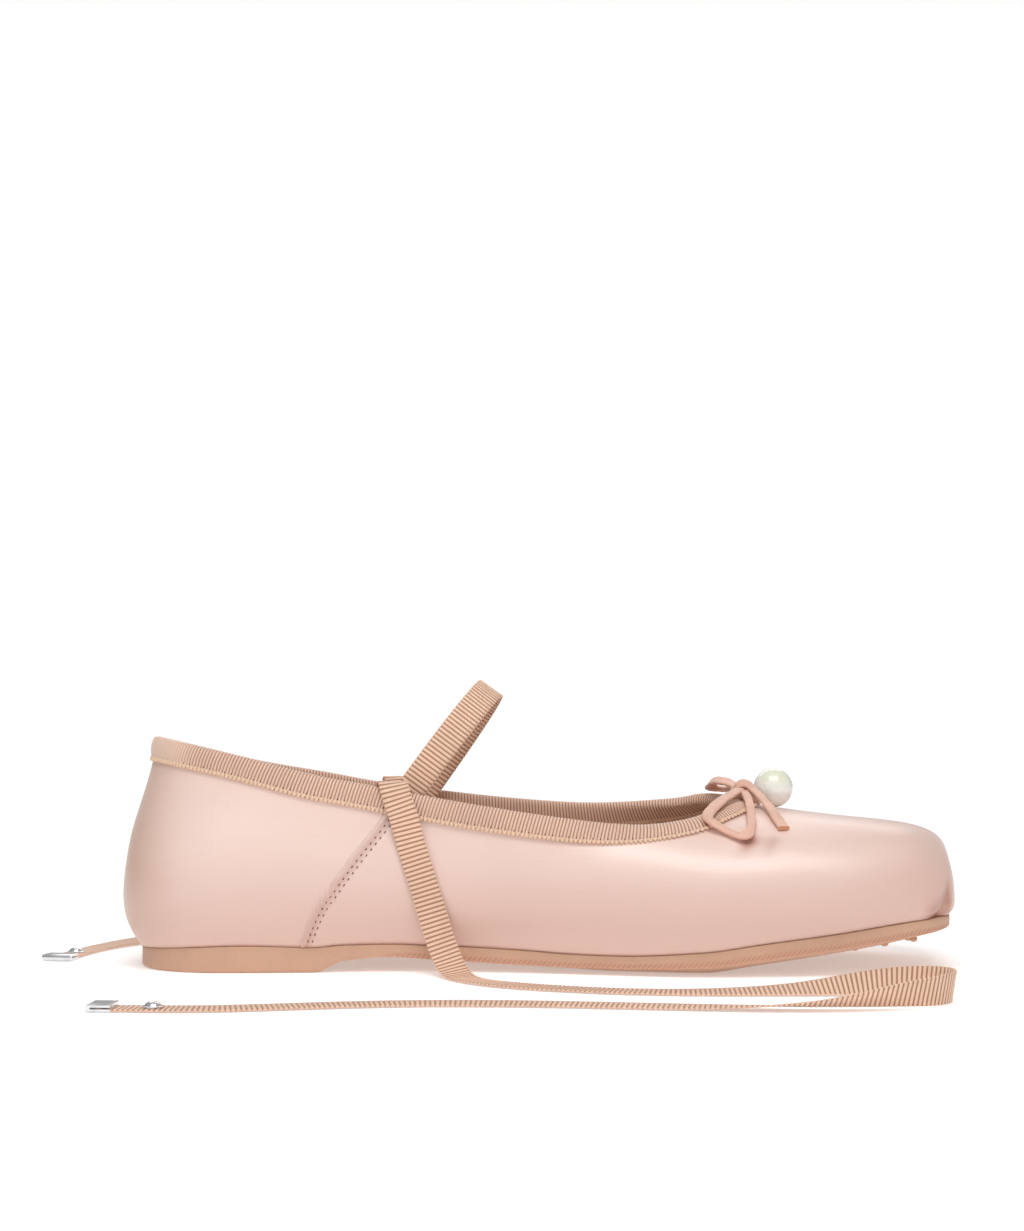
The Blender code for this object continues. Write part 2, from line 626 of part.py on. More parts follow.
def lying_on_floor(rows, width):
    """Turns rows of x, y and lean into rows of a place and a face direction."""
    route = np.array(rows, dtype=float)
    heading = unit(np.gradient(route[:, :2], axis=0))
    lean = np.radians(route[:, 2])
    right = np.stack([heading[:, 1], -heading[:, 0]], axis=1)
    faces = np.column_stack([right * np.sin(lean)[:, None], np.cos(lean)])
    half_width, half_thickness = width / MM / 2, RIBBON_THICKNESS / MM / 2
    lift = half_width * np.abs(np.sin(lean)) + half_thickness * np.cos(lean) + FLOOR_CLEARANCE / MM
    return [tuple(row) for row in np.column_stack([route[:, :2], lift, faces])]


def rectangle(width, thickness):
    half, rise = width / 2, thickness / 2
    return [(-half, -rise), (half, -rise), (half, rise), (-half, rise)]


def ellipse(width, thickness, count=8):
    angles = np.arange(count) * math.tau / count
    return [(math.cos(angle) * width / 2, math.sin(angle) * thickness / 2) for angle in angles]


def sweep(name, points, faces_to, section, finish):
    """A solid strip or lace: the flat section carried along the points, its face kept as given."""
    along = unit(np.gradient(points, axis=0))
    across = unit(np.cross(along, faces_to))
    facing = np.cross(across, along)
    section = np.array(section)
    rings = points[:, None] + across[:, None] * section[None, :, :1] + facing[:, None] * section[None, :, 1:]
    size = len(section)
    ends = [list(range(size))[::-1], [index + (len(points) - 1) * size for index in range(size)]]
    return add_object(name, rings.reshape(-1, 3), skin(rings, False) + ends, finish)


def tie_route(drop, floor):
    """Points of a tie's middle line and the way its face looks, from inside the collar to its end."""
    rows = [*drop, *lying_on_floor(floor, TIE_WIDTH)]
    spacing, fine_spacing = TIE_POINT_SPACING / MM, TIE_FOLD_SPACING / MM
    route = open_spline(rows, spacing, fine_spacing, TIE_FOLD_LENGTH / MM)
    return route[:, :3] * MM, unit(route[:, 3:])


def build_tie(side, drop, floor):
    points, faces_to = tie_route(drop, floor)
    section = rectangle(TIE_WIDTH, RIBBON_THICKNESS)
    sweep(f"ankle_tie_{side}", points, faces_to, section, "grosgrain")
    heading = Vector(points[-1] - points[-2]).normalized()
    build_tip(f"tie_tip_{side}", Vector(points[-1]), heading)
    build_stud(f"tie_stud_{side}", Vector(points[-1]) - heading * STUD_FROM_END)


def turn_to(heading):
    """The rotation that sets +X along a level heading."""
    return Vector((heading.x, heading.y, 0)).to_track_quat("X", "Z").to_matrix().to_4x4()


def build_tip(name, end, heading):
    """A folded metal clamp across a tie's end, lying on the floor."""
    x, y, z = TIP_LENGTH / 2, TIP_WIDTH / 2, TIP_THICKNESS / 2
    outline = [(-1, -1), (1, -1), (1, 1), (-1, 1)]
    rings = []
    for level, inset in ((-z, TIP_BEVEL), (-z + TIP_BEVEL, 0), (z - TIP_BEVEL, 0), (z, TIP_BEVEL)):
        rings.append([(i * (x - inset), j * (y - inset), level) for i, j in outline])
    points = [point for ring in rings for point in ring]
    faces = skin(np.array(rings), False) + [[3, 2, 1, 0], [12, 13, 14, 15]]
    tip = add_object(name, points, faces, "polished_metal")
    centre = end + heading * (GAP + x)
    tip.matrix_world = turn_to(heading)
    tip.location = (centre.x, centre.y, z + FLOOR_CLEARANCE)


def build_stud(name, foot):
    """A plain domed stud on the upper face of a tie."""
    rim = foot.z + RIBBON_THICKNESS / 2 + GAP
    profile = [(1.0, 0.0), (1.0, 0.3), (0.86, 0.72), (0.5, 0.95), (0.18, 1.0)]
    angles = np.arange(STUD_SIDES) * math.tau / STUD_SIDES
    rings = []
    for spread, height in profile:
        radius = spread * STUD_RADIUS
        x, y = foot.x + radius * np.cos(angles), foot.y + radius * np.sin(angles)
        rings.append(np.column_stack([x, y, np.full(STUD_SIDES, rim + height * STUD_HEIGHT)]))
    rings = np.array(rings)
    last = (len(rings) - 1) * STUD_SIDES
    ends = [list(range(STUD_SIDES))[::-1], list(range(last, last + STUD_SIDES))]
    add_object(name, rings.reshape(-1, 3), skin(rings, False) + ends, "polished_metal")


def build_instep_strap():
    """A ribbon arched over the instep and leaning forwards, tucked inside the collar."""
    near, far, top = np.array(STRAP_NEAR_BASE), np.array(STRAP_FAR_BASE), np.array(STRAP_TOP)
    arch = []
    for angle in np.linspace(0, math.pi, STRAP_ARCH_POINTS):
        base = near + (far - near) * (1 - math.cos(angle)) / 2
        lifted = base + (top - (near + far) / 2) * math.sin(angle)
        arch.append(lifted)
    tucks = [foot - unit(top - foot) * [1, 0, 1] * STRAP_TUCK for foot in (near, far)]
    points = np.array([tucks[0], *arch, tucks[1]])
    up = unit(top - (near + far) / 2)
    plane = np.array([up[2], 0.0, -up[0]])
    faces_to = unit(np.cross(np.gradient(points, axis=0), plane))
    section = rectangle(STRAP_WIDTH, RIBBON_THICKNESS)
    sweep("instep_strap", points, faces_to, section, "grosgrain")


def build_round(name, centre, radii, segments, rings, finish):
    mesh = bpy.data.meshes.new(name)
    shape = bmesh.new()
    bmesh.ops.create_uvsphere(shape, u_segments=segments, v_segments=rings, radius=1.0)
    bmesh.ops.scale(shape, vec=Vector(radii), verts=shape.verts)
    shape.to_mesh(mesh)
    shape.free()
    mesh.materials.append(material(finish))
    mesh.shade_smooth()
    obj = bpy.data.objects.new(name, mesh)
    bpy.context.scene.collection.objects.link(obj)
    obj.location = centre
    return obj


def build_bow():
    build_round("bow_knot", KNOT_CENTRE, KNOT_RADII, 14, 8, "lace")
    for name, rows in BOW_ROUTES.items():
        route = open_spline(rows, LACE_POINT_SPACING / MM)
        section = ellipse(LACE_WIDTH, LACE_THICKNESS)
        sweep(name, route[:, :3] * MM, unit(route[:, 3:]), section, "lace")


def main():
    clear_scene()
    table = sections()
    build_outsole(table)
    build_upper(table)
    build_insole(table)
    build_collar_binding(table)
    build_instep_strap()
    build_tie("near", NEAR_TIE_DROP, NEAR_TIE_FLOOR)
    build_tie("far", FAR_TIE_DROP, FAR_TIE_FLOOR)
    build_bow()
    build_round("pearl", PEARL_CENTRE, (PEARL_RADIUS,) * 3, 22, 12, "pearl")


if __name__ == "__main__":
    main()
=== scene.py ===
"""Looks of a satin ballet flat for the right foot: square soft toe, grosgrain-bound collar, arched
instep strap, two ankle ties lying beside it, and a lace bow with a pearl.

The toe points along +X, the medial side is +Y and +Z is up. Tables and sizes are in millimetres.
"""

import math

import bpy
import numpy as np
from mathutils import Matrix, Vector


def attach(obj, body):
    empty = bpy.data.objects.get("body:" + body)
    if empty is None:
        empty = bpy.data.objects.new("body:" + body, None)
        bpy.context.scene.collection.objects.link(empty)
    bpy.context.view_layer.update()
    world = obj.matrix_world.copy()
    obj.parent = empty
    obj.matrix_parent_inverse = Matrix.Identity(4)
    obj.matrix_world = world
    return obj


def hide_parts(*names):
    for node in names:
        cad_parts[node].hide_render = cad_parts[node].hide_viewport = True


bl_info = {
    "name": "Ballet Flat",
    "version": (1, 0, 0),
    "blender": (4, 5, 0),
    "location": "3D View > Sidebar > Ballet Flat",
    "description": "Satin, grosgrain, lace, pearl and moulded sole of a ballet flat around its solid model",
    "category": "Object",
}

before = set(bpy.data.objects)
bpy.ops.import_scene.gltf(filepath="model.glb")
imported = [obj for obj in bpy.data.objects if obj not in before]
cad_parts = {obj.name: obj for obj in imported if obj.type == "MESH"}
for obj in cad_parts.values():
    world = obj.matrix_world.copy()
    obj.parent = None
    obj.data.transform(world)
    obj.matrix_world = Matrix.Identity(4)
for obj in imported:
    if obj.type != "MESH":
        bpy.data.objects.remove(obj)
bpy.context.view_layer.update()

MM = 0.001
BODY = "root"


# ---------------------------------------------------------------- the shoe's own sizes

GAP = 0.3
UPPER_WALL = 1.6
SATIN_WALL = 0.8
UPPER_SETBACK = 0.6
JOINT_GAP = 0.06

SOLE_TOP_ROUND = 0.4
SOLE_BOTTOM_CHAMFER = 1.3
SOLE_CHAMFER_HEIGHT = 0.7
SOLE_CROWN_WIDTH = 12.0
SOLE_HEEL_TUCK = 0.9
SOLE_HEEL_TUCK_RUN = 22.0

RIBBON_THICKNESS = 0.7
STRAP_WIDTH = 8.5
TIE_WIDTH = 8.4
FLOOR_CLEARANCE = 0.3

STRAP_NEAR_BASE = (-39.2, -21.4, 50.4)
STRAP_FAR_BASE = (-35.7, 21.0, 50.4)
STRAP_TOP = (-14.8, -0.2, 81.9)
STRAP_TUCK = 6.0

LACE_WIDTH = 3.0
LACE_THICKNESS = 1.4
KNOT_CENTRE = (60.5, 0.0, 51.6)

# Sections of the shoe from toe to heel. Each row starts at the sole's edge (x, y) and runs up the
# wall to the collar. "steps" divides the way to the next row; the wall stands out by swell at
# swell_z; wall, crown and dip shape the curve from there to the collar's point.
# Not all of this is chosen by hand: a least-squares optimiser moved about a third of the numbers
# in the section rows and SOLE_ROWS together, so none of these tables is an example to follow.
COLUMNS = "steps x y swell swell_z wall crown dip collar_x collar_y collar_z".split()
TOE_ROW = (2, 121.7, 1.0, 1.5, 20.2, 0.95, 0.97, 0.27, 59.6, 0.5, 47.0)
LATERAL_ROWS = (
    (2, 119.9, -13.0, 1.4, 19.6, 0.92, 0.88, 0.23, 58.6, -5.6, 47.3),
    (3, 116.1, -24.8, 1.4, 20.2, 0.86, 0.77, 0.23, 56.4, -11.0, 47.0),
    (3, 103.4, -33.0, 1.5, 20.0, 0.74, 0.66, 0.23, 53.2, -15.8, 46.1),
    (3, 84.0, -37.6, 2.0, 19.0, 0.64, 0.62, 0.25, 48.6, -20.4, 44.9),
    (3, 62.0, -39.2, 2.3, 18.0, 0.57, 0.59, 0.27, 42.2, -24.6, 43.2),
    (3, 40.0, -38.4, 2.7, 17.5, 0.54, 0.58, 0.27, 31.0, -27.8, 41.8),
    (3, 18.0, -33.8, 3.4, 19.0, 0.50, 0.48, 0.28, 16.0, -29.2, 42.4),
    (3, -6.0, -28.6, 3.8, 22.0, 0.46, 0.34, 0.29, -7.0, -28.9, 45.4),
    (3, -30.0, -25.9, 4.3, 25.0, 0.44, 0.15, 0.30, -30.0, -27.6, 49.1),
    (1, -57.0, -26.6, 4.2, 25.5, 0.42, 0.12, 0.30, -56.5, -25.6, 54.0),
    (3, -65.0, -27.2, 3.9, 25.0, 0.40, 0.10, 0.30, -64.0, -25.0, 55.3),
    (3, -86.0, -28.4, 3.2, 23.5, 0.40, 0.10, 0.32, -85.5, -22.2, 60.6),
    (2, -105.4, -25.9, 3.8, 22.9, 0.39, 0.05, 0.34, -102.3, -17.2, 64.3),
    (2, -116.7, -15.8, 4.3, 22.9, 0.39, 0.12, 0.33, -110.4, -9.9, 65.8),
)
HEEL_ROW = (2, -119.0, 0.0, 4.8, 23.1, 0.41, 0.17, 0.31, -115.0, 0.0, 66.3)
MEDIAL_ROWS = (
    (2, 122.6, 14.6, 1.7, 20.4, 0.91, 0.94, 0.31, 58.8, 6.4, 47.3),
    (3, 118.8, 26.4, 1.2, 20.2, 0.84, 0.84, 0.33, 56.6, 12.0, 48.2),
    (3, 105.6, 34.0, 1.5, 20.0, 0.73, 0.69, 0.28, 53.4, 17.0, 48.6),
    (3, 85.0, 37.6, 2.0, 19.5, 0.66, 0.56, 0.24, 49.0, 21.4, 48.4),
    (3, 63.0, 38.8, 2.3, 19.0, 0.60, 0.45, 0.25, 43.0, 25.4, 47.1),
    (3, 43.0, 37.2, 2.9, 19.0, 0.56, 0.34, 0.28, 32.0, 28.4, 46.1),
    (3, 20.0, 30.4, 4.6, 22.0, 0.50, 0.22, 0.30, 16.5, 29.6, 45.4),
    (3, -6.0, 22.6, 6.6, 26.0, 0.46, 0.15, 0.30, -7.0, 28.4, 46.7),
    (3, -30.0, 19.6, 7.8, 29.0, 0.44, 0.10, 0.30, -30.0, 26.8, 49.2),
    (1, -57.0, 22.6, 6.0, 28.0, 0.42, 0.10, 0.30, -56.5, 25.0, 53.2),
    (3, -65.0, 24.0, 5.3, 27.0, 0.40, 0.10, 0.30, -64.0, 24.2, 54.7),
    (3, -86.0, 27.0, 3.6, 24.5, 0.40, 0.10, 0.32, -85.5, 21.8, 58.5),
    (2, -105.4, 25.5, 3.9, 23.1, 0.39, 0.05, 0.34, -102.3, 17.0, 62.4),
    (2, -116.7, 15.7, 4.3, 22.9, 0.39, 0.12, 0.33, -110.4, 9.8, 64.5),
)

# Heights of the sole: its underside at the middle and at the edge, and its upper face. Twenty of
# these numbers are among those that the optimiser moved.
SOLE_ROWS = (
    # x, middle, edge, seat
    (-119.0, 0.0, 0.0, 6.1),
    (-104.0, 0.0, 0.0, 7.0),
    (-86.0, 0.0, 0.0, 7.7),
    (-65.0, 0.0, 0.0, 7.2),
    (-57.0, 3.2, 3.2, 7.8),
    (-45.0, 3.7, 4.2, 8.0),
    (-30.0, 3.3, 3.4, 7.6),
    (-6.0, 1.6, 2.2, 6.6),
    (8.0, 0.5, 1.9, 5.8),
    (20.0, 0.0, 1.9, 5.6),
    (46.0, 0.0, 2.6, 7.0),
    (62.0, 2.2, 4.6, 9.3),
    (84.0, 5.4, 7.5, 12.2),
    (104.0, 8.4, 10.3, 14.9),
    (116.0, 10.5, 11.9, 16.0),
    (122.6, 11.6, 12.6, 15.7),
)
UNDER_MIDDLE, UNDER_EDGE, SEAT = 1, 2, 3

# Routes of the ankle ties. Each rises inside the collar, turns over it and comes down the wall
# with its face turned by (nx, ny, nz), then lies on the floor, leaning by so many degrees.
NEAR_TIE_DROP = (
    # x, y, z, nx, ny, nz
    (-43.9, -23.7, 43.0, 0.1, 1.0, 0.1),
    (-43.9, -23.2, 47.5, 0.12, 1.0, 0.1),
    (-43.9, -22.9, 50.8, 0.12, 1.0, 0.1),
    (-43.6, -23.9, 53.4, 0.07, 0.7, 0.7),
    (-42.9, -26.2, 54.7, 0.0, 0.0, 1.0),
    (-42.2, -28.5, 53.3, -0.05, -0.8, 0.6),
    (-41.3, -29.5, 50.2, -0.05, -1.0, 0.2),
    (-39.8, -30.1, 46.0, 0.0, -1.0, 0.1),
    (-37.6, -30.4, 38.0, 0.0, -1.0, 0.0),
    (-34.8, -31.1, 29.0, 0.0, -1.0, 0.0),
    (-32.0, -31.3, 20.0, 0.0, -1.0, 0.0),
    (-29.5, -32.0, 12.0, 0.0, -1.0, 0.1),
    (-27.0, -34.5, 5.5, 0.0, -0.8, 0.6),
    (-24.2, -39.5, 1.6, 0.0, -0.3, 0.95),
)
NEAR_TIE_FLOOR = (
    # x, y, lean
    (-20.0, -47.0, 0.0),
    (-11.0, -56.0, 0.0),
    (5.0, -64.5, 0.0),
    (26.0, -70.5, 0.0),
    (50.0, -72.5, 4.0),
    (74.0, -72.5, 22.0),
    (95.0, -75.0, 60.0),
    (105.0, -83.0, 80.0),
    (103.0, -93.0, 80.0),
    (92.0, -99.5, 60.0),
    (74.0, -102.0, 25.0),
    (50.0, -100.5, 5.0),
    (22.0, -96.5, 0.0),
    (-8.0, -92.5, 0.0),
    (-36.0, -92.5, 0.0),
    (-62.0, -97.0, 0.0),
    (-86.0, -101.5, 0.0),
    (-108.0, -101.0, 0.0),
)
FAR_TIE_DROP = (
    # x, y, z, nx, ny, nz
    (-43.9, 22.7, 43.0, 0.05, -1.0, 0.1),
    (-43.9, 22.3, 47.5, 0.05, -1.0, 0.1),
    (-43.9, 21.9, 50.6, 0.05, -1.0, 0.1),
    (-43.9, 22.9, 53.2, 0.0, -0.7, 0.7),
    (-44.4, 25.1, 54.5, 0.0, 0.0, 1.0),
    (-45.0, 27.3, 53.1, 0.0, 0.8, 0.6),
    (-45.6, 28.6, 49.8, 0.0, 1.0, 0.2),
    (-46.6, 29.2, 44.0, 0.0, 1.0, 0.1),
    (-48.0, 29.2, 35.0, 0.0, 1.0, 0.0),
    (-49.5, 29.6, 26.0, 0.0, 1.0, 0.0),
    (-51.0, 29.8, 17.0, 0.0, 1.0, 0.0),
    (-52.6, 31.0, 9.5, 0.0, 1.0, 0.1),
    (-54.4, 34.6, 4.0, 0.0, 0.75, 0.65),
    (-56.0, 40.5, 1.2, 0.0, 0.2, 0.98),
)
FAR_TIE_FLOOR = (
    # x, y, lean
    (-55.5, 49.5, 6.0),
    (-45.0, 60.0, 45.0),
    (-26.0, 64.5, 20.0),
    (0.0, 64.5, 0.0),
    (26.0, 62.5, 0.0),
    (46.0, 62.5, -18.0),
    (62.0, 67.0, -60.0),
    (68.0, 77.0, -80.0),
    (61.0, 87.0, -60.0),
    (44.0, 91.0, -20.0),
    (18.0, 90.0, 0.0),
    (-12.0, 88.0, 0.0),
    (-44.0, 86.0, 0.0),
    (-76.0, 80.0, -4.0),
    (-104.0, 68.0, -8.0),
    (-126.0, 50.0, -6.0),
    (-139.0, 28.0, 0.0),
    (-144.0, 6.0, 0.0),
)

# Routes of the bow's lace, each with the way that its flat face looks. Most of the near loop and
# the end of the near tail came from a ray-casting program and were edited afterwards, so
# those two routes aren't an example to follow either.
BOW_ROUTES = {
    # x, y, z, nx, ny, nz
    "bow_loop_near": (
        (59.5, -3.4, 51.7, 0.0, -0.2, 1.0),
        (56.2, -9.0, 50.4, -0.1, -0.3, 1.0),
        (53.0, -15.0, 49.1, -0.1, -0.3, 1.0),
        (49.9, -21.0, 47.1, 0.0, -0.4, 1.0),
        (48.0, -25.0, 45.4, 0.0, -0.5, 1.0),
        (47.8, -27.4, 44.2, 0.0, -0.5, 1.0),
        (49.4, -28.9, 43.0, 0.0, -0.5, 1.0),
        (51.8, -29.7, 41.6, 0.0, -0.6, 1.0),
        (54.3, -31.1, 40.3, 0.0, -0.6, 1.0),
        (56.5, -31.8, 39.7, 0.0, -0.6, 1.0),
        (58.2, -31.6, 39.9, 0.0, -0.6, 1.0),
        (59.4, -29.9, 41.0, 0.0, -0.5, 1.0),
        (60.2, -27.0, 42.5, 0.0, -0.5, 1.0),
        (60.8, -20.7, 45.4, 0.1, -0.4, 1.0),
        (61.0, -14.2, 48.4, 0.1, -0.3, 1.0),
        (60.8, -7.0, 50.5, 0.1, -0.2, 1.0),
        (60.7, -3.5, 51.2, 0.1, -0.2, 1.0),
    ),
    "bow_loop_far": (
        (59.4, 3.3, 52.0, 0.0, 0.0, 1.0),
        (57.2, 8.0, 53.3, -0.2, -0.3, 1.0),
        (55.0, 12.0, 53.8, -0.3, -0.4, 0.9),
        (53.3, 16.0, 53.4, -0.5, -0.4, 0.8),
        (52.8, 19.4, 52.2, -0.6, -0.1, 0.8),
        (54.4, 21.5, 51.2, -0.2, 0.4, 0.9),
        (57.0, 20.8, 50.9, 0.1, 0.4, 1.0),
        (58.6, 17.2, 51.1, 0.1, 0.3, 1.0),
        (59.6, 12.4, 51.4, 0.1, 0.2, 1.0),
        (60.0, 8.0, 51.5, 0.1, 0.1, 1.0),
        (60.6, 4.1, 51.3, 0.1, 0.1, 1.0),
    ),
    "bow_tail_near": (
        (63.2, -3.3, 51.9, 0.2, -0.3, 1.0),
        (64.4, -6.5, 50.7, 0.2, -0.4, 1.0),
        (65.6, -11.0, 48.8, 0.2, -0.4, 1.0),
        (66.9, -16.0, 46.9, 0.1, -0.4, 1.0),
        (68.1, -22.2, 44.3, 0.1, -0.4, 1.0),
        (69.4, -28.1, 41.6, 0.1, -0.5, 1.0),
    ),
    "bow_tail_far": (
        (63.3, 4.6, 50.0, 0.1, 0.1, 1.0),
        (64.5, 8.0, 49.8, 0.1, 0.2, 1.0),
        (65.4, 11.0, 49.6, 0.1, 0.2, 1.0),
        (66.0, 14.4, 49.1, 0.1, 0.2, 1.0),
        (66.6, 18.0, 48.3, 0.1, 0.3, 1.0),
        (67.2, 22.5, 47.0, 0.1, 0.4, 1.0),
        (67.6, 26.0, 45.6, 0.1, 0.5, 1.0),
    ),
}

# Binding across its width: depth below the collar's edge and how far it stands off the satin.
BINDING_EDGE = 5.3
BINDING_HEM = 5.75
BINDING_OUTSIDE = (
    (0.6, 1.22), (1.6, 1.34), (2.8, 1.32), (3.8, 1.12), (4.4, 0.84), (4.9, 0.98), (BINDING_EDGE, 0.80)
)
BINDING_INSIDE = ((BINDING_EDGE, 1.0), (4.8, 0.95), (3.2, 1.1), (1.6, 1.12), (0.5, 1.05))
BINDING_TOP_RISE = 1.25
BINDING_STITCH_DEPTH = 4.75
PICOT_DEPTH = 5.65

# Side seam of the quarter over the vamp: where its front row of stitches crosses each height.
SEAM_ROW = (
    (8.0, -67.3), (12.0, -65.8), (18.6, -62.7), (24.0, -58.9), (32.0, -53.1), (39.0, -47.5), (46.0, -42.1)
)
SEAM_ROW_GAP = 1.2
SEAM_EDGE_BACK = 1.6
SEAM_FOLD_HEIGHT = 0.95
SEAM_STITCH = 2.1
SERRATION = 1.45

# Creases pressed into the satin: depth, half-width, then points on the wall. Each is
# deepest and widest at its first point.
CREASES = (
    # front corner of the toe, outer side
    (1.5, 2.0, ((113.8, -26.4, 16.8), (115.6, -27.2, 20.0), (117.0, -25.2, 24.0), (118.0, -22.6, 29.0))),
    (0.40, 0.9, ((113.8, -26.4, 16.8), (109.5, -30.0, 16.9), (102.0, -33.4, 16.2))),
    (0.55, 5.0, ((111.5, -27.0, 31.0), (107.0, -31.0, 25.0), (103.0, -34.0, 20.0))),
    (0.40, 4.0, ((114.0, -21.0, 37.0), (117.5, -19.0, 30.0))),
    # front corner of the toe, inner side
    (1.3, 1.9, ((116.8, 27.6, 16.7), (118.4, 28.4, 20.0), (119.4, 26.4, 24.0), (120.0, 23.6, 28.5))),
    (0.40, 0.9, ((116.8, 27.6, 16.7), (112.0, 31.2, 16.9), (105.0, 34.2, 16.2))),
    (0.40, 5.5, ((114.0, 28.0, 31.0), (109.0, 31.6, 26.0))),
    # small pleats under the toe's front
    (0.30, 0.60, ((121.5, -9.0, 16.4), (122.2, -9.4, 18.6))),
    (0.25, 0.60, ((122.4, -3.0, 16.3), (123.0, -3.2, 18.2))),
    (0.28, 0.60, ((122.8, 5.0, 16.3), (123.4, 5.2, 18.4))),
    (0.30, 0.60, ((122.8, 12.5, 16.3), (123.4, 12.8, 18.6))),
    # below the bow's near loop
    (0.75, 2.6, ((59.6, -31.8, 39.2), (57.2, -34.4, 37.0), (54.4, -36.9, 33.6))),
    (0.45, 2.4, ((66.0, -31.5, 38.2), (63.0, -35.5, 34.0), (60.5, -38.5, 29.6))),
    # beside the seam's top
    (0.22, 1.0, ((-37.5, -29.5, 42.5), (-40.0, -30.0, 38.5), (-42.5, -30.5, 35.5))),
    (0.16, 0.9, ((-33.0, -29.5, 41.5), (-36.5, -30.5, 36.5))),
    # back of the heel above the sole
    (0.25, 0.8, ((-118.8, -3.5, 7.4), (-120.2, -3.8, 10.4))),
    (0.22, 0.8, ((-118.9, 3.0, 7.4), (-120.3, 3.2, 10.2))),
    (0.20, 0.8, ((-115.5, -12.5, 7.6), (-117.0, -13.0, 10.0))),
    (0.20, 0.8, ((-115.5, 12.5, 7.6), (-117.0, 13.0, 10.0))),
)

# Painted shade where the satin gathers at the toe's front corners, with no dent, as (how dark, width, route).
GATHER_SHADES = (
    (1.0, 3.0, ((114.2, -26.8, 17.2), (111.0, -29.0, 18.4), (107.0, -31.4, 19.4))),
    (0.75, 1.5, ((113.6, -27.2, 17.0), (114.8, -27.0, 20.5), (116.0, -25.6, 24.5), (117.0, -23.6, 29.0))),
    (0.30, 7.0, ((113.0, -26.6, 19.0), (107.0, -31.0, 26.0))),
    (0.85, 2.6, ((116.6, 28.2, 17.2), (113.6, 30.2, 18.8), (110.0, 32.2, 20.0))),
    (0.50, 1.3, ((116.4, 28.2, 17.0), (117.6, 28.0, 20.5), (118.6, 26.6, 24.5), (119.2, 24.6, 29.0))),
)


def srgb(red, green, blue):
    """A colour seen as 0 to 255 values, as the linear values that a material takes."""
    def linear(value):
        value /= 255
        return value / 12.92 if value <= 0.04045 else ((value + 0.055) / 1.055) ** 2.4

    return linear(red), linear(green), linear(blue)


def darker(colour, share):
    return [part * share for part in colour]


# ---------------------------------------------------------------- what a user would change

def length_input(name, description, default):
    return bpy.props.FloatProperty(
        name=name, description=description, default=default * MM, unit="LENGTH", precision=5
    )


def colour_input(name, description, default):
    return bpy.props.FloatVectorProperty(
        name=name, description=description, default=srgb(*default), subtype="COLOR", min=0.0, max=1.0
    )


class ShoeSizes(bpy.types.PropertyGroup):
    """Sizes of the ribbons' ribs, the stitches and the sole's serration."""

    tie_rib: length_input("Tie rib", "From one rib of the ties and strap to the next", 1.3)
    tie_rib_depth: length_input("Tie rib depth", "Depth between the ribs of the ties", 0.2)
    binding_rib: length_input("Binding rib", "From one rib of the binding to the next", 0.96)
    binding_rib_depth: length_input("Binding rib depth", "Depth between the binding's ribs", 0.24)
    picot: length_input("Picot", "From one scallop of the binding's edge to the next", 1.25)
    seam_stitch: length_input("Seam stitch", "From one stitch of the side seam to the next", SEAM_STITCH)
    binding_stitch: length_input("Binding stitch", "From one stitch of the binding to the next", 2.2)
    serration: length_input("Serration", "From one notch of the sole's lower edge to the next", SERRATION)
    serration_depth: length_input("Serration depth", "Depth of the sole's notches", 0.26)
    nub: length_input("Nub", "Width of a tread nub under the toe", 2.5)


class ShoeColours(bpy.types.PropertyGroup):
    """Colours of the shoe's finishes."""

    satin: colour_input("Satin", "Face of the upper", (240, 210, 198))
    # Painted shade on the satin: darker near the sole and towards the toe's front.
    satin_low_shade: colour_input("Satin low down", "Satin near the sole and over the toe's front", (216, 178, 163))
    # Painted shade round the back of the heel.
    satin_heel_shade: colour_input("Satin at the heel", "Satin round the back of the heel", (200, 160, 134))
    # Painted shade in the satin's creases, gathers and seam; the same colour tints its thick threads.
    satin_shade: colour_input("Satin in creases", "Satin deep in its folds", (180, 122, 103))
    lining: colour_input("Lining", "Inside of the upper and the sock lining", (226, 196, 176))
    binding: colour_input("Binding", "Ribs of the collar binding", (236, 201, 179))
    # Painted shade between the binding's ribs; the same colour darkens some of its threads.
    binding_groove_shade: colour_input("Binding grooves", "Between the binding's ribs", (154, 104, 80))
    picot: colour_input("Picot", "Scalloped edge of the binding", (236, 200, 170))
    ribbon: colour_input("Ribbon", "Ribs of the strap and the ties", (244, 206, 179))
    # Painted shade between the ribs of the strap and ties; the same colour darkens some of their threads.
    ribbon_groove_shade: colour_input("Ribbon grooves", "Between the ribbon's ribs", (150, 98, 68))
    lace: colour_input("Lace", "The bow", (236, 188, 166))
    lace_end: colour_input("Lace end", "Raw cut end of the lace", (214, 150, 112))
    sole: colour_input("Sole", "Moulded sole", (208, 166, 139))
    sole_low: colour_input("Sole low down", "Lower half of the sole's side", (208, 158, 132))
    # Painted shade in the serration's notches; the same colour gives the sole its dark specks.
    sole_shade: colour_input("Sole in notches", "Moulded sole in its notches", (186, 134, 106))
    pearl: colour_input("Pearl", "Bead beside the knot", (250, 250, 243))
    pearl_band: colour_input("Pearl band", "Soft bands in the bead", (222, 224, 186))
    metal: colour_input("Metal", "Tips and studs of the ties", (226, 226, 228))
    thread: colour_input("Seam thread", "Stitches of the side seam", (128, 78, 58))
    binding_thread: colour_input("Binding thread", "Stitches of the binding", (112, 70, 50))
    floor: colour_input("Floor", "What the shoe stands on", (250, 250, 251))


# ---------------------------------------------------------------- curves and sections

TRIES_PER_ROW = 40
TRIES_AROUND = 6000
STEP_AHEAD = 0.05

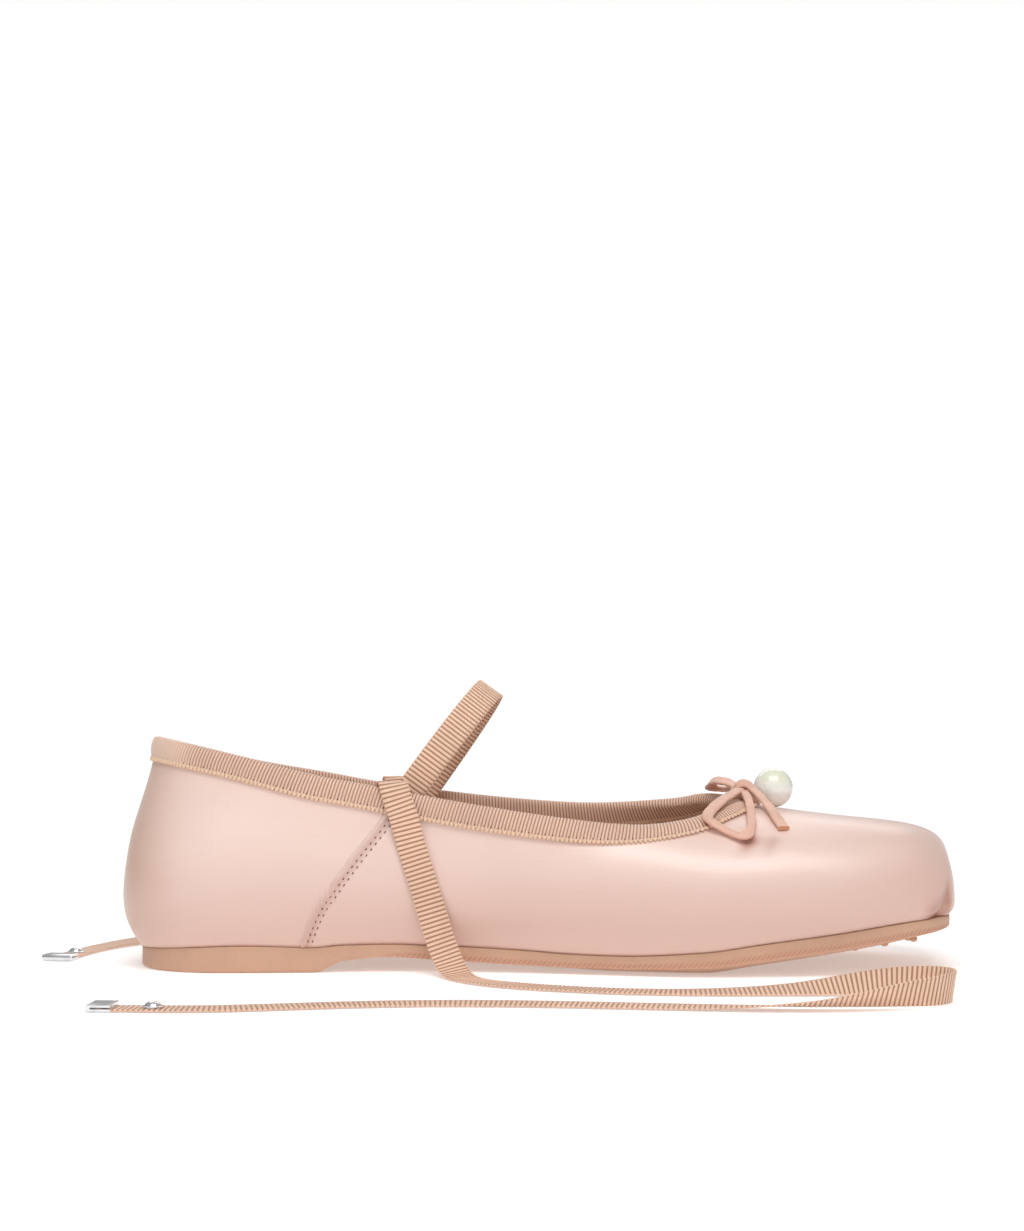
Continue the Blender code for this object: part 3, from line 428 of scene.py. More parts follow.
# How far the wall's curve holds its direction: outwards and upwards from the foot, and below its
# widest place.
FOOT_OUT, FOOT_UP, WIDEST_DOWN = 0.62, 0.22, 0.45


def unit(vectors):
    return vectors / np.linalg.norm(vectors, axis=-1, keepdims=True)


def arc_lengths(points):
    """Distance along a row of points, from its first."""
    return np.concatenate([[0.0], np.cumsum(np.linalg.norm(np.diff(points, axis=0), axis=1))])


def cubic_curve(knots, spans, values, bends):
    """The curve through the rows of values with these bends, as a function of the distance along it."""
    def curve(distance):
        span = np.clip(np.searchsorted(knots, distance, side="right") - 1, 0, len(spans) - 1)
        following = (span + 1) % len(values)
        width = spans[span][:, None]
        ahead = (distance - knots[span])[:, None] / width
        behind = 1 - ahead
        cubic = (behind**3 - behind) * bends[span] + (ahead**3 - ahead) * bends[following]
        return behind * values[span] + ahead * values[following] + cubic * width**2 / 6

    return curve


def closed_spline(knots, values, length):
    """A smooth closed curve through the rows of values."""
    count = len(values)
    spans = np.diff(np.append(knots, length))
    slopes = (np.roll(values, -1, axis=0) - values) / spans[:, None]
    system = np.zeros((count, count))
    for row in range(count):
        before, after = (row - 1) % count, (row + 1) % count
        system[row, before] = spans[before]
        system[row, row] = 2 * (spans[before] + spans[row])
        system[row, after] = spans[row]
    bends = np.linalg.solve(system, 6 * (slopes - np.roll(slopes, 1, axis=0)))
    return cubic_curve(knots, spans, values, bends)


def open_spline(rows, spacing):
    """Points of a smooth curve through the rows, evenly spaced."""
    values = np.array(rows, dtype=float)
    knots = arc_lengths(values[:, :3])
    spans = np.linalg.norm(np.diff(values[:, :3], axis=0), axis=1)
    slopes = np.diff(values, axis=0) / spans[:, None]
    system = np.diag(2 * (spans[:-1] + spans[1:]))
    system += np.diag(spans[1:-1], 1) + np.diag(spans[1:-1], -1)
    bends = np.zeros_like(values)
    bends[1:-1] = np.linalg.solve(system, 6 * np.diff(slopes, axis=0))
    curve = cubic_curve(knots, spans, values, bends)
    dense = np.linspace(0, knots[-1], TRIES_PER_ROW * len(values))
    travelled = arc_lengths(curve(dense)[:, :3])
    count = max(2, round(travelled[-1] / spacing)) + 1
    return curve(np.interp(np.linspace(0, travelled[-1], count), travelled, dense))


def steady_curve(knots, heights, x):
    """Heights read between knots on a smooth curve that never overshoots them."""
    slopes = np.diff(heights) / np.diff(knots)
    bends = np.zeros(len(knots))
    level = slopes[:-1] * slopes[1:] > 0
    bends[1:-1][level] = 2 / (1 / slopes[:-1][level] + 1 / slopes[1:][level])
    bends[0], bends[-1] = slopes[0], slopes[-1]
    x = np.clip(x, knots[0], knots[-1])
    span = np.clip(np.searchsorted(knots, x, side="right") - 1, 0, len(knots) - 2)
    width = knots[span + 1] - knots[span]
    share = (x - knots[span]) / width
    rest = 1 - share
    ends = rest**2 * (1 + 2 * share) * heights[span] + share**2 * (3 - 2 * share) * heights[span + 1]
    return ends + width * share * rest * (rest * bends[span] - share * bends[span + 1])


def sole_height(x, column):
    rows = np.array(SOLE_ROWS)
    return steady_curve(rows[:, 0], rows[:, column], x)


def sole_height_at(x, column):
    """The sole's height at one place."""
    return float(sole_height(np.array([x]), column)[0])


def smooth_step(low, high, value):
    share = np.clip((value - low) / (high - low), 0, 1)
    return share**2 * (3 - 2 * share)


def ridge(across, centre, width):
    """A smooth bump, 1 high at its centre."""
    return np.exp(-(((across - centre) / width) ** 2))


def band(limits, value):
    """Rises from 0 to 1 between the first two limits and falls again between the last two."""
    return smooth_step(*limits[:2], value) * (1 - smooth_step(*limits[2:], value))


class Last:
    """The shoe's closed run of sections, read at any distance around the sole's edge."""

    def __init__(self):
        rows = [TOE_ROW, *LATERAL_ROWS, HEEL_ROW, *reversed(MEDIAL_ROWS)]
        table = np.array(rows, dtype=float)
        edges = table[:, 1:3]
        lengths = np.linalg.norm(np.roll(edges, -1, axis=0) - edges, axis=1)
        self.length = lengths.sum()
        self.knots = np.concatenate([[0.0], np.cumsum(lengths)[:-1]])
        self.spans = lengths
        medial_steps = [row[0] for row in reversed(MEDIAL_ROWS)][1:] + [TOE_ROW[0]]
        self.steps = [TOE_ROW[0], *[row[0] for row in LATERAL_ROWS], MEDIAL_ROWS[-1][0], *medial_steps]
        self.curve = closed_spline(self.knots, table, self.length)

    def at(self, stations):
        found = dict(zip(COLUMNS, self.curve(stations).T))
        ahead = self.curve(np.mod(stations + STEP_AHEAD, self.length))[:, 1:3]
        along = unit(ahead - np.stack([found["x"], found["y"]], axis=1))
        found["out"] = np.stack([-along[:, 1], along[:, 0]], axis=1)
        found["station"] = stations
        return found

    def paired(self, refine):
        """Sections that face each other across the shoe, so many for each step of the table."""
        runs = zip(self.knots, self.spans, self.steps)
        return self.at(np.concatenate([k + s * np.arange(n * refine) / (n * refine) for k, s, n in runs]))

    def spaced(self, spacing_at):
        """Sections as close together as spacing_at says for each x of the sole's edge."""
        dense = np.linspace(0, self.length, TRIES_AROUND, endpoint=False)
        density = 1 / spacing_at(self.curve(dense)[:, 1])
        total = np.concatenate([[0.0], np.cumsum(density) * self.length / len(dense)])
        count = int(round(total[-1]))
        wanted = np.arange(count) * total[-1] / count
        return self.at(np.interp(wanted, total, np.append(dense, self.length)))

    def along_collar(self, pieces):
        """Sections evenly spaced along the collar as seen from above, without its slope."""
        dense = np.linspace(0, self.length, TRIES_AROUND + 1)
        # These columns are dip, collar_x and collar_y: the collar's height isn't among them.
        collar = self.curve(np.mod(dense, self.length))[:, 7:10]
        travelled = arc_lengths(collar)
        wanted = np.arange(pieces) * travelled[-1] / pieces
        return self.at(np.interp(wanted, travelled, dense)), travelled[-1]

    def collar_length(self):
        return self.along_collar(8)[1]


LAST = Last()


def bezier(corners, shares):
    """Points of cubic curves, one for each station; corners are four (n, 3) arrays."""
    start, first, second, end = corners
    points = []
    for share in shares:
        rest = 1 - share
        point = rest**3 * start + 3 * rest**2 * share * first
        points.append(point + 3 * rest * share**2 * second + share**3 * end)
    return points


def raised(plan, height):
    return np.column_stack([plan, height])


def edge_plan(table, inset):
    """The sole's outline moved inwards by inset."""
    return np.stack([table["x"], table["y"]], axis=1) - table["out"] * inset


def upper_rings(table, below, above):
    """Rings of the upper's outer face, from the sole up to the collar."""
    sole_edge = edge_plan(table, UPPER_SETBACK)
    foot = raised(sole_edge, sole_height(sole_edge[:, 0], SEAT) + JOINT_GAP)
    widest = raised(edge_plan(table, -table["swell"][:, None]), table["swell_z"])
    collar = np.stack([table["collar_x"], table["collar_y"], table["collar_z"]], axis=1)
    rise = (table["swell_z"] - foot[:, 2])[:, None]
    out = raised(table["out"], 0 * table["x"])
    up = np.array([0.0, 0.0, 1.0])
    flare = (table["swell"] + UPPER_SETBACK)[:, None]
    lower = bezier(
        (foot, foot + FOOT_OUT * flare * out + FOOT_UP * rise * up, widest - WIDEST_DOWN * rise * up, widest),
        np.linspace(0, 1, below + 1),
    )
    climb = (table["collar_z"] - table["swell_z"])[:, None]
    spread = widest - collar
    spread[:, 2] = 0
    shoulder = widest + table["wall"][:, None] * climb * up
    lip = collar + table["crown"][:, None] * spread - table["dip"][:, None] * climb * up
    upper = bezier((widest, shoulder, lip, collar), np.linspace(0, 1, above + 1))
    return np.array(lower + upper[1:])


def ring_normals(rings):
    """Outward normals of a stack of closed rings."""
    around = np.roll(rings, -1, axis=1) - np.roll(rings, 1, axis=1)
    upwards = np.gradient(rings, axis=0)
    return unit(np.cross(upwards, around))


# ---------------------------------------------------------------- meshes

def skin(count, size, wrap_rings, wrap_section=True):
    """Quads between neighbouring rings of a stack, as an array of point indices."""
    rings = np.arange(count if wrap_rings else count - 1)
    around = np.arange(size if wrap_section else size - 1)
    ring, index = np.meshgrid(rings, around, indexing="ij")
    after = (index + 1) % size
    upper = (ring + 1) % count * size
    low = ring * size
    return np.stack([low + index, low + after, upper + after, upper + index], axis=-1).reshape(-1, 4)


def tube(count, size):
    """Faces of a stack of rings whose two ends are closed."""
    last = (count - 1) * size
    ends = [list(range(size))[::-1], list(range(last, last + size))]
    return skin(count, size, False).tolist() + ends


def signed_volume(mesh):
    mesh.calc_loop_triangles()
    corners = np.array([triangle.vertices for triangle in mesh.loop_triangles])
    points = np.array([vertex.co for vertex in mesh.vertices])
    a, b, c = (points[corners[:, index]] for index in range(3))
    return float(np.einsum("ij,ij->i", a, np.cross(b, c)).sum() / 6)


def add_mesh(name, points, faces, sharp_angle=None, closed=True, **attributes):
    """A mesh object from points in millimetres, with a float attribute for each named array."""
    mesh = bpy.data.meshes.new(name)
    mesh.from_pydata((np.asarray(points).reshape(-1, 3) * MM).tolist(), [], [list(face) for face in faces])
    for key, values in attributes.items():
        layer = mesh.attributes.new(key, "FLOAT", "POINT")
        layer.data.foreach_set("value", np.asarray(values, dtype=np.float32).ravel())
    if closed and signed_volume(mesh) < 0:
        mesh.flip_normals()
    mesh.shade_smooth()
    if sharp_angle:
        mesh.set_sharp_from_angle(angle=math.radians(sharp_angle))
    obj = bpy.data.objects.new(name, mesh)
    bpy.context.scene.collection.objects.link(obj)
    return obj


def apply_modifiers(obj):
    """Turns what the piece's modifiers make into its plain mesh."""
    graph = bpy.context.evaluated_depsgraph_get()
    made = bpy.data.meshes.new_from_object(
        obj.evaluated_get(graph), preserve_all_data_layers=True, depsgraph=graph
    )
    obj.modifiers.clear()
    old, obj.data = obj.data, made
    bpy.data.meshes.remove(old)
    made.name = obj.name
    return obj


def finish_piece(obj, material, slot, *nodes):
    """Gives a piece its finish and its body, and hides the solids it stands for; the slot is not used."""
    if material:
        obj.data.materials.clear()
        obj.data.materials.append(material)
    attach(obj, BODY)
    if nodes:
        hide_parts(*nodes)
    return obj


# ---------------------------------------------------------------- node trees

class Wire:
    """A value in a node tree; arithmetic on it adds Math nodes."""

    def __init__(self, tree, socket):
        self.tree = tree
        self.socket = socket

    def math(self, operation, *others):
        return self.tree.add("ShaderNodeMath", {"operation": operation}, dict(enumerate((self, *others))))

    def __add__(self, other):
        return self.math("ADD", other)

    def __sub__(self, other):
        return self.math("SUBTRACT", other)

    def __rsub__(self, other):
        return self.tree.add("ShaderNodeMath", {"operation": "SUBTRACT"}, {0: other, 1: self})

    def __mul__(self, other):
        return self.math("MULTIPLY", other)

    __radd__ = __add__
    __rmul__ = __mul__

    def __truediv__(self, other):
        return self.math("DIVIDE", other)

    def __pow__(self, other):
        return self.math("POWER", other)

    def ramp(self, low, high, start=0.0, end=1.0):
        """Eases from start to end as the value goes from low to high."""
        settings = {"interpolation_type": "SMOOTHSTEP"}
        limits = {"From Min": low, "From Max": high, "To Min": start, "To Max": end}
        return self.tree.add("ShaderNodeMapRange", settings, {"Value": self, **limits})

    def wave(self, pitch):
        """Grooves once every pitch: 0 on the ridges and 1 deep between them."""
        return (1 - (self * (math.tau / pitch)).math("COSINE")) * 0.5


class Tree:
    """Adds nodes to a tree by one method."""

    def __init__(self, nodes_owner):
        self.made = nodes_owner

    def add(self, kind, settings=None, sockets=None, output=0):
        node = self.made.nodes.new(kind)
        for key, value in (settings or {}).items():
            setattr(node, key, value)
        for key, value in (sockets or {}).items():
            if isinstance(value, Wire):
                self.made.links.new(value.socket, node.inputs[key])
            else:
                node.inputs[key].default_value = value
        return Wire(self, node.outputs[output]) if len(node.outputs) else node


def socket_name(key):
    return key.replace("_", " ").title().replace("Ior", "IOR")


class Finish(Tree):
    """A material's nodes around one Principled shader."""

    def __init__(self, name, **constants):
        self.material = bpy.data.materials.new(name)
        self.material.use_nodes = True
        super().__init__(self.material.node_tree)
        self.shader = self.made.nodes["Principled BSDF"]
        for key, value in constants.items():
            self.shader.inputs[socket_name(key)].default_value = value

    def feed(self, **wires):
        for key, wire in wires.items():
            self.made.links.new(wire.socket, self.shader.inputs[socket_name(key)])
        return self.material

    def places(self):
        """The point's place on the object, in metres."""
        return self.add("ShaderNodeTexCoord", output="Object")

    def axis(self, vector, name):
        return self.add("ShaderNodeSeparateXYZ", {}, {"Vector": vector}, name)

    def scaled(self, vector, scale):
        return self.add("ShaderNodeMapping", {}, {"Vector": vector, "Scale": scale})

    def noise(self, vector, scale, detail=2.0, roughness=0.5):
        sockets = {"Vector": vector, "Scale": scale, "Detail": detail, "Roughness": roughness}
        return self.add("ShaderNodeTexNoise", {}, sockets, "Fac")

    def attribute(self, name):
        return self.add("ShaderNodeAttribute", {"attribute_name": name}, output="Fac")

    def blend(self, factor, first, second):
        """Mixes two colours, each three numbers or a wire."""
        first, second = (each if isinstance(each, Wire) else (*each[:3], 1.0) for each in (first, second))
        return self.add("ShaderNodeMix", {"data_type": "RGBA"}, {0: factor, 6: first, 7: second}, 2)

    def bump(self, height, strength, distance, before=None):
        sockets = {"Height": height, "Strength": strength, "Distance": distance * MM}
        if before:
            sockets["Normal"] = before
        return self.add("ShaderNodeBump", {}, sockets, "Normal")


class Pattern(Tree):
    """A geometry tree with named inputs, ending in Realize Instances and Set Material."""

    def __init__(self, name, **inputs):
        group = bpy.data.node_groups.new(name, "GeometryNodeTree")
        super().__init__(group)
        group.interface.new_socket("Geometry", in_out="OUTPUT", socket_type="NodeSocketGeometry")
        group.interface.new_socket("Geometry", in_out="INPUT", socket_type="NodeSocketGeometry")
        for key, default in inputs.items():
            item = group.interface.new_socket(key, in_out="INPUT", socket_type="NodeSocketFloat")
            item.default_value = default
        group.interface.new_socket("Material", in_out="INPUT", socket_type="NodeSocketMaterial")
        self.entry = group.nodes.new("NodeGroupInput")

    def given(self, name):
        return Wire(self, self.entry.outputs[name])

    def named(self, name, kind="FLOAT"):
        return self.add("GeometryNodeInputNamedAttribute", {"data_type": kind}, {"Name": name})

    def end(self, geometry):
        plain = self.add("GeometryNodeRealizeInstances", {}, {"Geometry": geometry})
        sockets = {"Geometry": plain, "Material": self.given("Material")}
        dressed = self.add("GeometryNodeSetMaterial", {}, sockets)
        self.add("NodeGroupOutput", {}, {"Geometry": dressed})
        return self.made

    def stretch(self, vector, factor):
        return self.add("ShaderNodeVectorMath", {"operation": "SCALE"}, {0: vector, "Scale": factor})


def ribs_pattern():
    """Presses a groove into the surface once every pitch of its "along", as deep as "ribbed" says."""
    if "ribs" in bpy.data.node_groups:
        return bpy.data.node_groups["ribs"]
    tree = Pattern("ribs", Pitch=1.0, Depth=0.2)
    groove = (tree.named("along") / tree.given("Pitch")).wave(1)
    push = groove * tree.named("ribbed") * tree.given("Depth") * -MM
    offset = tree.stretch(tree.add("GeometryNodeInputNormal"), push)
    moved = tree.add("GeometryNodeSetPosition", {}, {"Geometry": tree.given("Geometry"), "Offset": offset})
    return tree.end(moved)


def beads_pattern():
    """Sets a rounded bead on each guide point, along its "tangent" with its top towards "facing"."""
    if "beads" in bpy.data.node_groups:
        return bpy.data.node_groups["beads"]
    tree = Pattern("beads", Length=1.0, Width=0.5, Height=0.4)
    ball = tree.add("GeometryNodeMeshUVSphere", {}, {"Segments": 8, "Rings": 6, "Radius": 0.5 * MM})
    lengths = {"X": tree.given("Length"), "Y": tree.given("Width"), "Z": tree.given("Height")}
    size = tree.add("ShaderNodeCombineXYZ", {}, lengths)
    bead = tree.add("GeometryNodeTransform", {}, {"Geometry": ball, "Scale": size})
    turned = tree.add(
        "FunctionNodeAlignRotationToVector",
        {"axis": "X"},
        {"Vector": tree.named("tangent", "FLOAT_VECTOR")},
    )
    turned = tree.add(
        "FunctionNodeAlignRotationToVector",
        {"axis": "Z", "pivot_axis": "X"},
        {"Rotation": turned, "Vector": tree.named("facing", "FLOAT_VECTOR")},
    )
    placed = tree.add(
        "GeometryNodeInstanceOnPoints",
        {},
        {"Points": tree.given("Geometry"), "Instance": bead, "Rotation": turned},
    )
    return tree.end(placed)


def run_pattern(obj, group, material, **values):
    """Runs a geometry tree on the piece with these inputs and keeps the plain result."""
    modifier = obj.modifiers.new(group.name, "NODES")
    modifier.node_group = group
    sockets = {item.name: item.identifier for item in group.interface.items_tree if item.in_out == "INPUT"}
    for key, value in values.items():
        modifier[sockets[key]] = float(value)
    modifier[sockets["Material"]] = material
    return apply_modifiers(obj)


def sew(name, points, facing, material, length, width, height):
    """A row of beads or stitches along the points, each lying along the row."""
    points = np.asarray(points, dtype=float)
    tangent = unit(np.gradient(points, axis=0))
    mesh = bpy.data.meshes.new(name)
    mesh.from_pydata((points * MM).tolist(), [], [])
    for key, values in (("tangent", tangent), ("facing", facing)):
        layer = mesh.attributes.new(key, "FLOAT_VECTOR", "POINT")
        layer.data.foreach_set("vector", np.asarray(values, dtype=np.float32).ravel())
    obj = bpy.data.objects.new(name, mesh)
    bpy.context.scene.collection.objects.link(obj)
    run_pattern(obj, beads_pattern(), material, Length=length, Width=width, Height=height)
    obj.data.shade_smooth()
    return obj


# ---------------------------------------------------------------- finishes

def satin_finish(colours):
    """Smooth warp-faced satin: soft gloss, a very fine weave and a few thick threads, with painted shade low
    on the wall, at the toe's front, round the heel and in its creases and seam.
    """
    finish = Finish("satin", sheen_weight=0.3, sheen_roughness=0.35, specular_ior_level=0.9)
    finish.shader.inputs["Sheen Tint"].default_value = (1.0, 0.93, 0.90, 1.0)
    places = finish.places()
    x, z = finish.axis(places, "X"), finish.axis(places, "Z")
    cloudy = finish.noise(places, 28.0, 2.0)
    threads = finish.noise(finish.scaled(places, (160.0, 160.0, 5200.0)), 1.0, 2.0)
    slubs = finish.noise(finish.scaled(places, (55.0, 55.0, 1500.0)), 1.0, 1.0).ramp(0.76, 0.82)
    weave = finish.noise(finish.scaled(places, (5200.0, 5200.0, 2600.0)), 1.0, 1.0)
    hollow = finish.attribute("hollow")
    tone = finish.blend(cloudy.ramp(0.3, 0.7), darker(colours.satin, 0.97), colours.satin)
    # Painted shade: the satin darkens near the sole and towards the toe's front.
    tone = finish.blend(z.ramp(0.012, 0.036, 0.72, 0.0), tone, colours.satin_low_shade)
    tone = finish.blend(x.ramp(0.070, 0.122, 0.0, 0.6), tone, colours.satin_low_shade)
    # Painted shade round the back of the heel.
    tone = finish.blend(x.ramp(-0.124, -0.100, 0.6, 0.0), tone, colours.satin_heel_shade)
    tone = finish.blend(slubs * 0.2, tone, colours.satin_shade)
    tone = finish.blend(threads.ramp(0.35, 0.75) * 0.05, tone, colours.satin_shade)
    # Painted shade in the creases, gathers and side seam.
    tone = finish.blend(hollow.ramp(0.05, 0.9) * 0.75, tone, colours.satin_shade)
    coarse = finish.bump(slubs - threads * 0.3, 0.15, 0.04)
    fine = finish.bump(weave, 0.10, 0.03, coarse)
    rough = cloudy * 0.08 + 0.34
    return finish.feed(base_color=tone, roughness=rough, normal=fine)


def lining_finish(colours, name="lining"):
    """Soft brushed lining with a fine even grain."""
    finish = Finish(name, sheen_weight=0.2, sheen_roughness=0.5)
    places = finish.places()
    grain = finish.noise(places, 2400.0, 3.0, 0.6)
    cloudy = finish.noise(places, 45.0, 3.0)
    tone = finish.blend(cloudy.ramp(0.3, 0.75), colours.lining, darker(colours.lining, 0.86))
    tone = finish.blend(grain.ramp(0.35, 0.7) * 0.2, tone, darker(colours.lining, 0.7))
    return finish.feed(base_color=tone, roughness=grain * 0.2 + 0.6, normal=finish.bump(grain, 0.35, 0.08))


def grosgrain_finish(name, ridge, groove, pitch):
    """Corded ribbon: warp threads drawn tight over ribs, with painted shade between them."""
    finish = Finish(name, sheen_weight=0.3, sheen_roughness=0.45)
    along = finish.attribute("along")
    ribbed = finish.attribute("ribbed")
    places = finish.places()
    threads = finish.noise(places, 3200.0, 2.0, 0.6)
    cloudy = finish.noise(places, 60.0, 2.0)
    shade = along.wave(pitch) * ribbed
    tone = finish.blend(cloudy.ramp(0.3, 0.7), ridge, darker(ridge, 0.93))
    tone = finish.blend(threads.ramp(0.4, 0.75) * 0.22, tone, groove)
    # Painted shade between the ribs.
    tone = finish.blend(shade.ramp(0.35, 0.98) * 0.85, tone, groove)
    rough = shade * 0.2 + 0.58
    return finish.feed(base_color=tone, roughness=rough, normal=finish.bump(threads, 0.3, 0.06))


def picot_finish(colours):
    """Matt loops along the binding's edge."""
    finish = Finish("picot", sheen_weight=0.25)
    grain = finish.noise(finish.places(), 3000.0, 2.0)
    tone = finish.blend(grain.ramp(0.4, 0.75) * 0.4, colours.picot, darker(colours.picot, 0.72))
    return finish.feed(base_color=tone, roughness=grain * 0.1 + 0.6, normal=finish.bump(grain, 0.3, 0.05))


def thread_finish(name, colour):
    """Twisted sewing thread."""
    finish = Finish(name, sheen_weight=0.2)
    ply = finish.noise(finish.places(), 4200.0, 2.0)
    tone = finish.blend(ply.ramp(0.4, 0.7), colour, darker(colour, 0.7))
    return finish.feed(base_color=tone, roughness=ply * 0.1 + 0.6, normal=finish.bump(ply, 0.4, 0.04))


def lace_finish(colours):
    """Folded satin lace with a dull bloom and lengthwise threads."""
    finish = Finish("lace", sheen_weight=0.35, sheen_roughness=0.4)
    places = finish.places()
    across = finish.attribute("across")
    threads = (across * 46.0).math("SINE") * 0.5 + 0.5
    cloudy = finish.noise(places, 160.0, 3.0)
    speckle = finish.noise(places, 3600.0, 2.0)
    tone = finish.blend(cloudy.ramp(0.3, 0.75), colours.lace, darker(colours.lace, 0.86))
    tone = finish.blend(speckle.ramp(0.45, 0.8) * 0.2, tone, darker(colours.lace, 0.65))
    tone = finish.blend(finish.attribute("cut"), tone, colours.lace_end)
    height = threads * 0.4 + speckle
    return finish.feed(base_color=tone, roughness=cloudy * 0.15 + 0.5, normal=finish.bump(height, 0.25, 0.05))


def sole_finish(colours):
    """Moulded sole, faintly mottled, with painted shade in its notches."""
    finish = Finish("moulded_sole", specular_ior_level=0.4)
    places = finish.places()
    cloudy = finish.noise(places, 70.0, 4.0, 0.6)
    grain = finish.noise(places, 1500.0, 3.0, 0.6)
    shade = finish.attribute("along").wave(SERRATION) * finish.attribute("ribbed")
    tone = finish.blend(cloudy.ramp(0.3, 0.75), colours.sole, darker(colours.sole, 0.9))
    tone = finish.blend(grain.ramp(0.5, 0.8) * 0.18, tone, colours.sole_shade)
    tone = finish.blend(finish.attribute("ribbed").ramp(0.2, 0.9) * 0.65, tone, colours.sole_low)
    # Painted shade in the serration's notches.
    tone = finish.blend(shade.ramp(0.25, 0.95) * 0.7, tone, colours.sole_shade)
    return finish.feed(base_color=tone, roughness=grain * 0.2 + 0.42, normal=finish.bump(grain, 0.25, 0.06))


def pearl_finish(colours):
    """Nacre: cool white with soft greenish bands under a clear skin."""
    finish = Finish("pearl", coat_roughness=0.06, specular_ior_level=0.6, sheen_weight=0.15)
    places = finish.places()
    warp = finish.noise(places, 130.0, 2.0)
    bands = finish.axis(finish.scaled(places, (120.0, 60.0, 420.0)), "Z")
    bands = ((bands + warp * 5.0).math("SINE") * 0.5 + 0.5).ramp(0.1, 0.9)
    tone = finish.blend(bands * 0.65, colours.pearl, colours.pearl_band)
    tone = finish.blend(warp.ramp(0.5, 0.8) * 0.4, tone, (0.93, 0.95, 0.93))
    skin = finish.noise(places, 900.0, 2.0)
    return finish.feed(
        base_color=tone,
        roughness=bands * 0.12 + 0.24,
        coat_weight=skin * 0.2 + 0.6,
        normal=finish.bump(skin, 0.05, 0.05),
    )


def metal_finish(colours):
    """Polished nickel with fine brushing and a few hairline scratches."""
    finish = Finish("polished_metal", metallic=1.0)
    places = finish.places()
    brush = finish.noise(finish.scaled(places, (400.0, 5000.0, 5000.0)), 1.0, 2.0)
    wear = finish.noise(places, 320.0, 3.0)
    tone = finish.blend(wear.ramp(0.4, 0.8), colours.metal, darker(colours.metal, 0.82))
    return finish.feed(base_color=tone, roughness=brush * 0.12 + 0.12, normal=finish.bump(brush, 0.08, 0.03))


def floor_finish(colours):
    """A pale floor that glows faintly under the shoe and white farther out, so that it shows no far edge."""
    finish = Finish("floor", emission_strength=1.0)
    places = finish.places()
    x, y = finish.axis(places, "X"), finish.axis(places, "Y")
    far = (x * x + y * y).ramp(0.07, 0.5)
    haze = finish.noise(places, 3.0, 2.0)
    tone = finish.blend(haze, colours.floor, darker(colours.floor, 0.99))
    tone = finish.blend(far, tone, (0.0, 0.0, 0.0))
    glow = finish.blend(far, (0.3, 0.3, 0.3), (1.0, 1.0, 1.0))
    return finish.feed(base_color=tone, roughness=haze * 0.1 + 0.7, emission_color=glow)


# ---------------------------------------------------------------- the upper

SATIN_SPACING = 1.35
SEAM_SPACING = 0.42
TOE_SPACING = 0.5
SATIN_ROWS_BELOW = 12
SATIN_ROWS_ABOVE = 58
LINING_ROWS = 22
SATIN_SLACK = 0.5
FOOT_ROWS = 6
BACK_ROW_STEP = 6
LINING_GAP = 0.08

# Where the satin's rows lie closer together, along the shoe.
SEAM_BAND = (-76, -71, -40, -35)
TOE_START = (96, 106)

# Side seam: how much of its fold falls towards the stitches and where it has run out, the width
# and depth of its stitched channels, and how high the satin puckers beside them.
SEAM_FALL = 0.72
SEAM_RUN_OUT = 7.0
CHANNEL_WIDTH, CHANNEL_DEPTH = 0.35, 0.14
PUCKER_DEPTH, PUCKER_RISE = 0.10, 0.22
SEAM_FOOT, SEAM_TOP = 8.2, 47.5
STITCH_LENGTH_SHARE, STITCH_WIDTH, STITCH_HEIGHT = 0.44, 0.40, 0.34
STITCH_LIFT = 0.03

# Creases reach this far and narrow along their way; a low roll lies beside each. Narrow ones
# get more painted shade than wide ones.
CREASE_REACH = 20.0
CREASE_START, CREASE_NARROWING = 1.2, 0.7
ROLL_SHARE, ROLL_PLACE, ROLL_WIDTH = 0.16, 2.1, 0.9
WIDE_CREASE = 3.5
NARROW_SHADE, WIDE_SHADE = 1.1, 0.25
LINING_SPREAD, LINING_PRESS = 2.5, 1.2

SLACK_HEIGHT = 0.24
SLACK_BAND = (8, 16, 36, 46)
WALL_NEIGHBOURS = 6


def seam_x(z):
    """Where the seam's front row of stitches crosses a height."""
    heights, places = np.array(SEAM_ROW).T
    return steady_curve(heights, places, z)


def seam_stretch(z):
    """How much longer the leaning seam is than its height."""
    return np.sqrt(1 + (seam_x(z + 0.5) - seam_x(z - 0.5)) ** 2)


def satin_spacing(x):
    spacing = SATIN_SPACING + (SEAM_SPACING - SATIN_SPACING) * band(SEAM_BAND, x)
    return spacing + (TOE_SPACING - SATIN_SPACING) * smooth_step(*TOE_START, x)


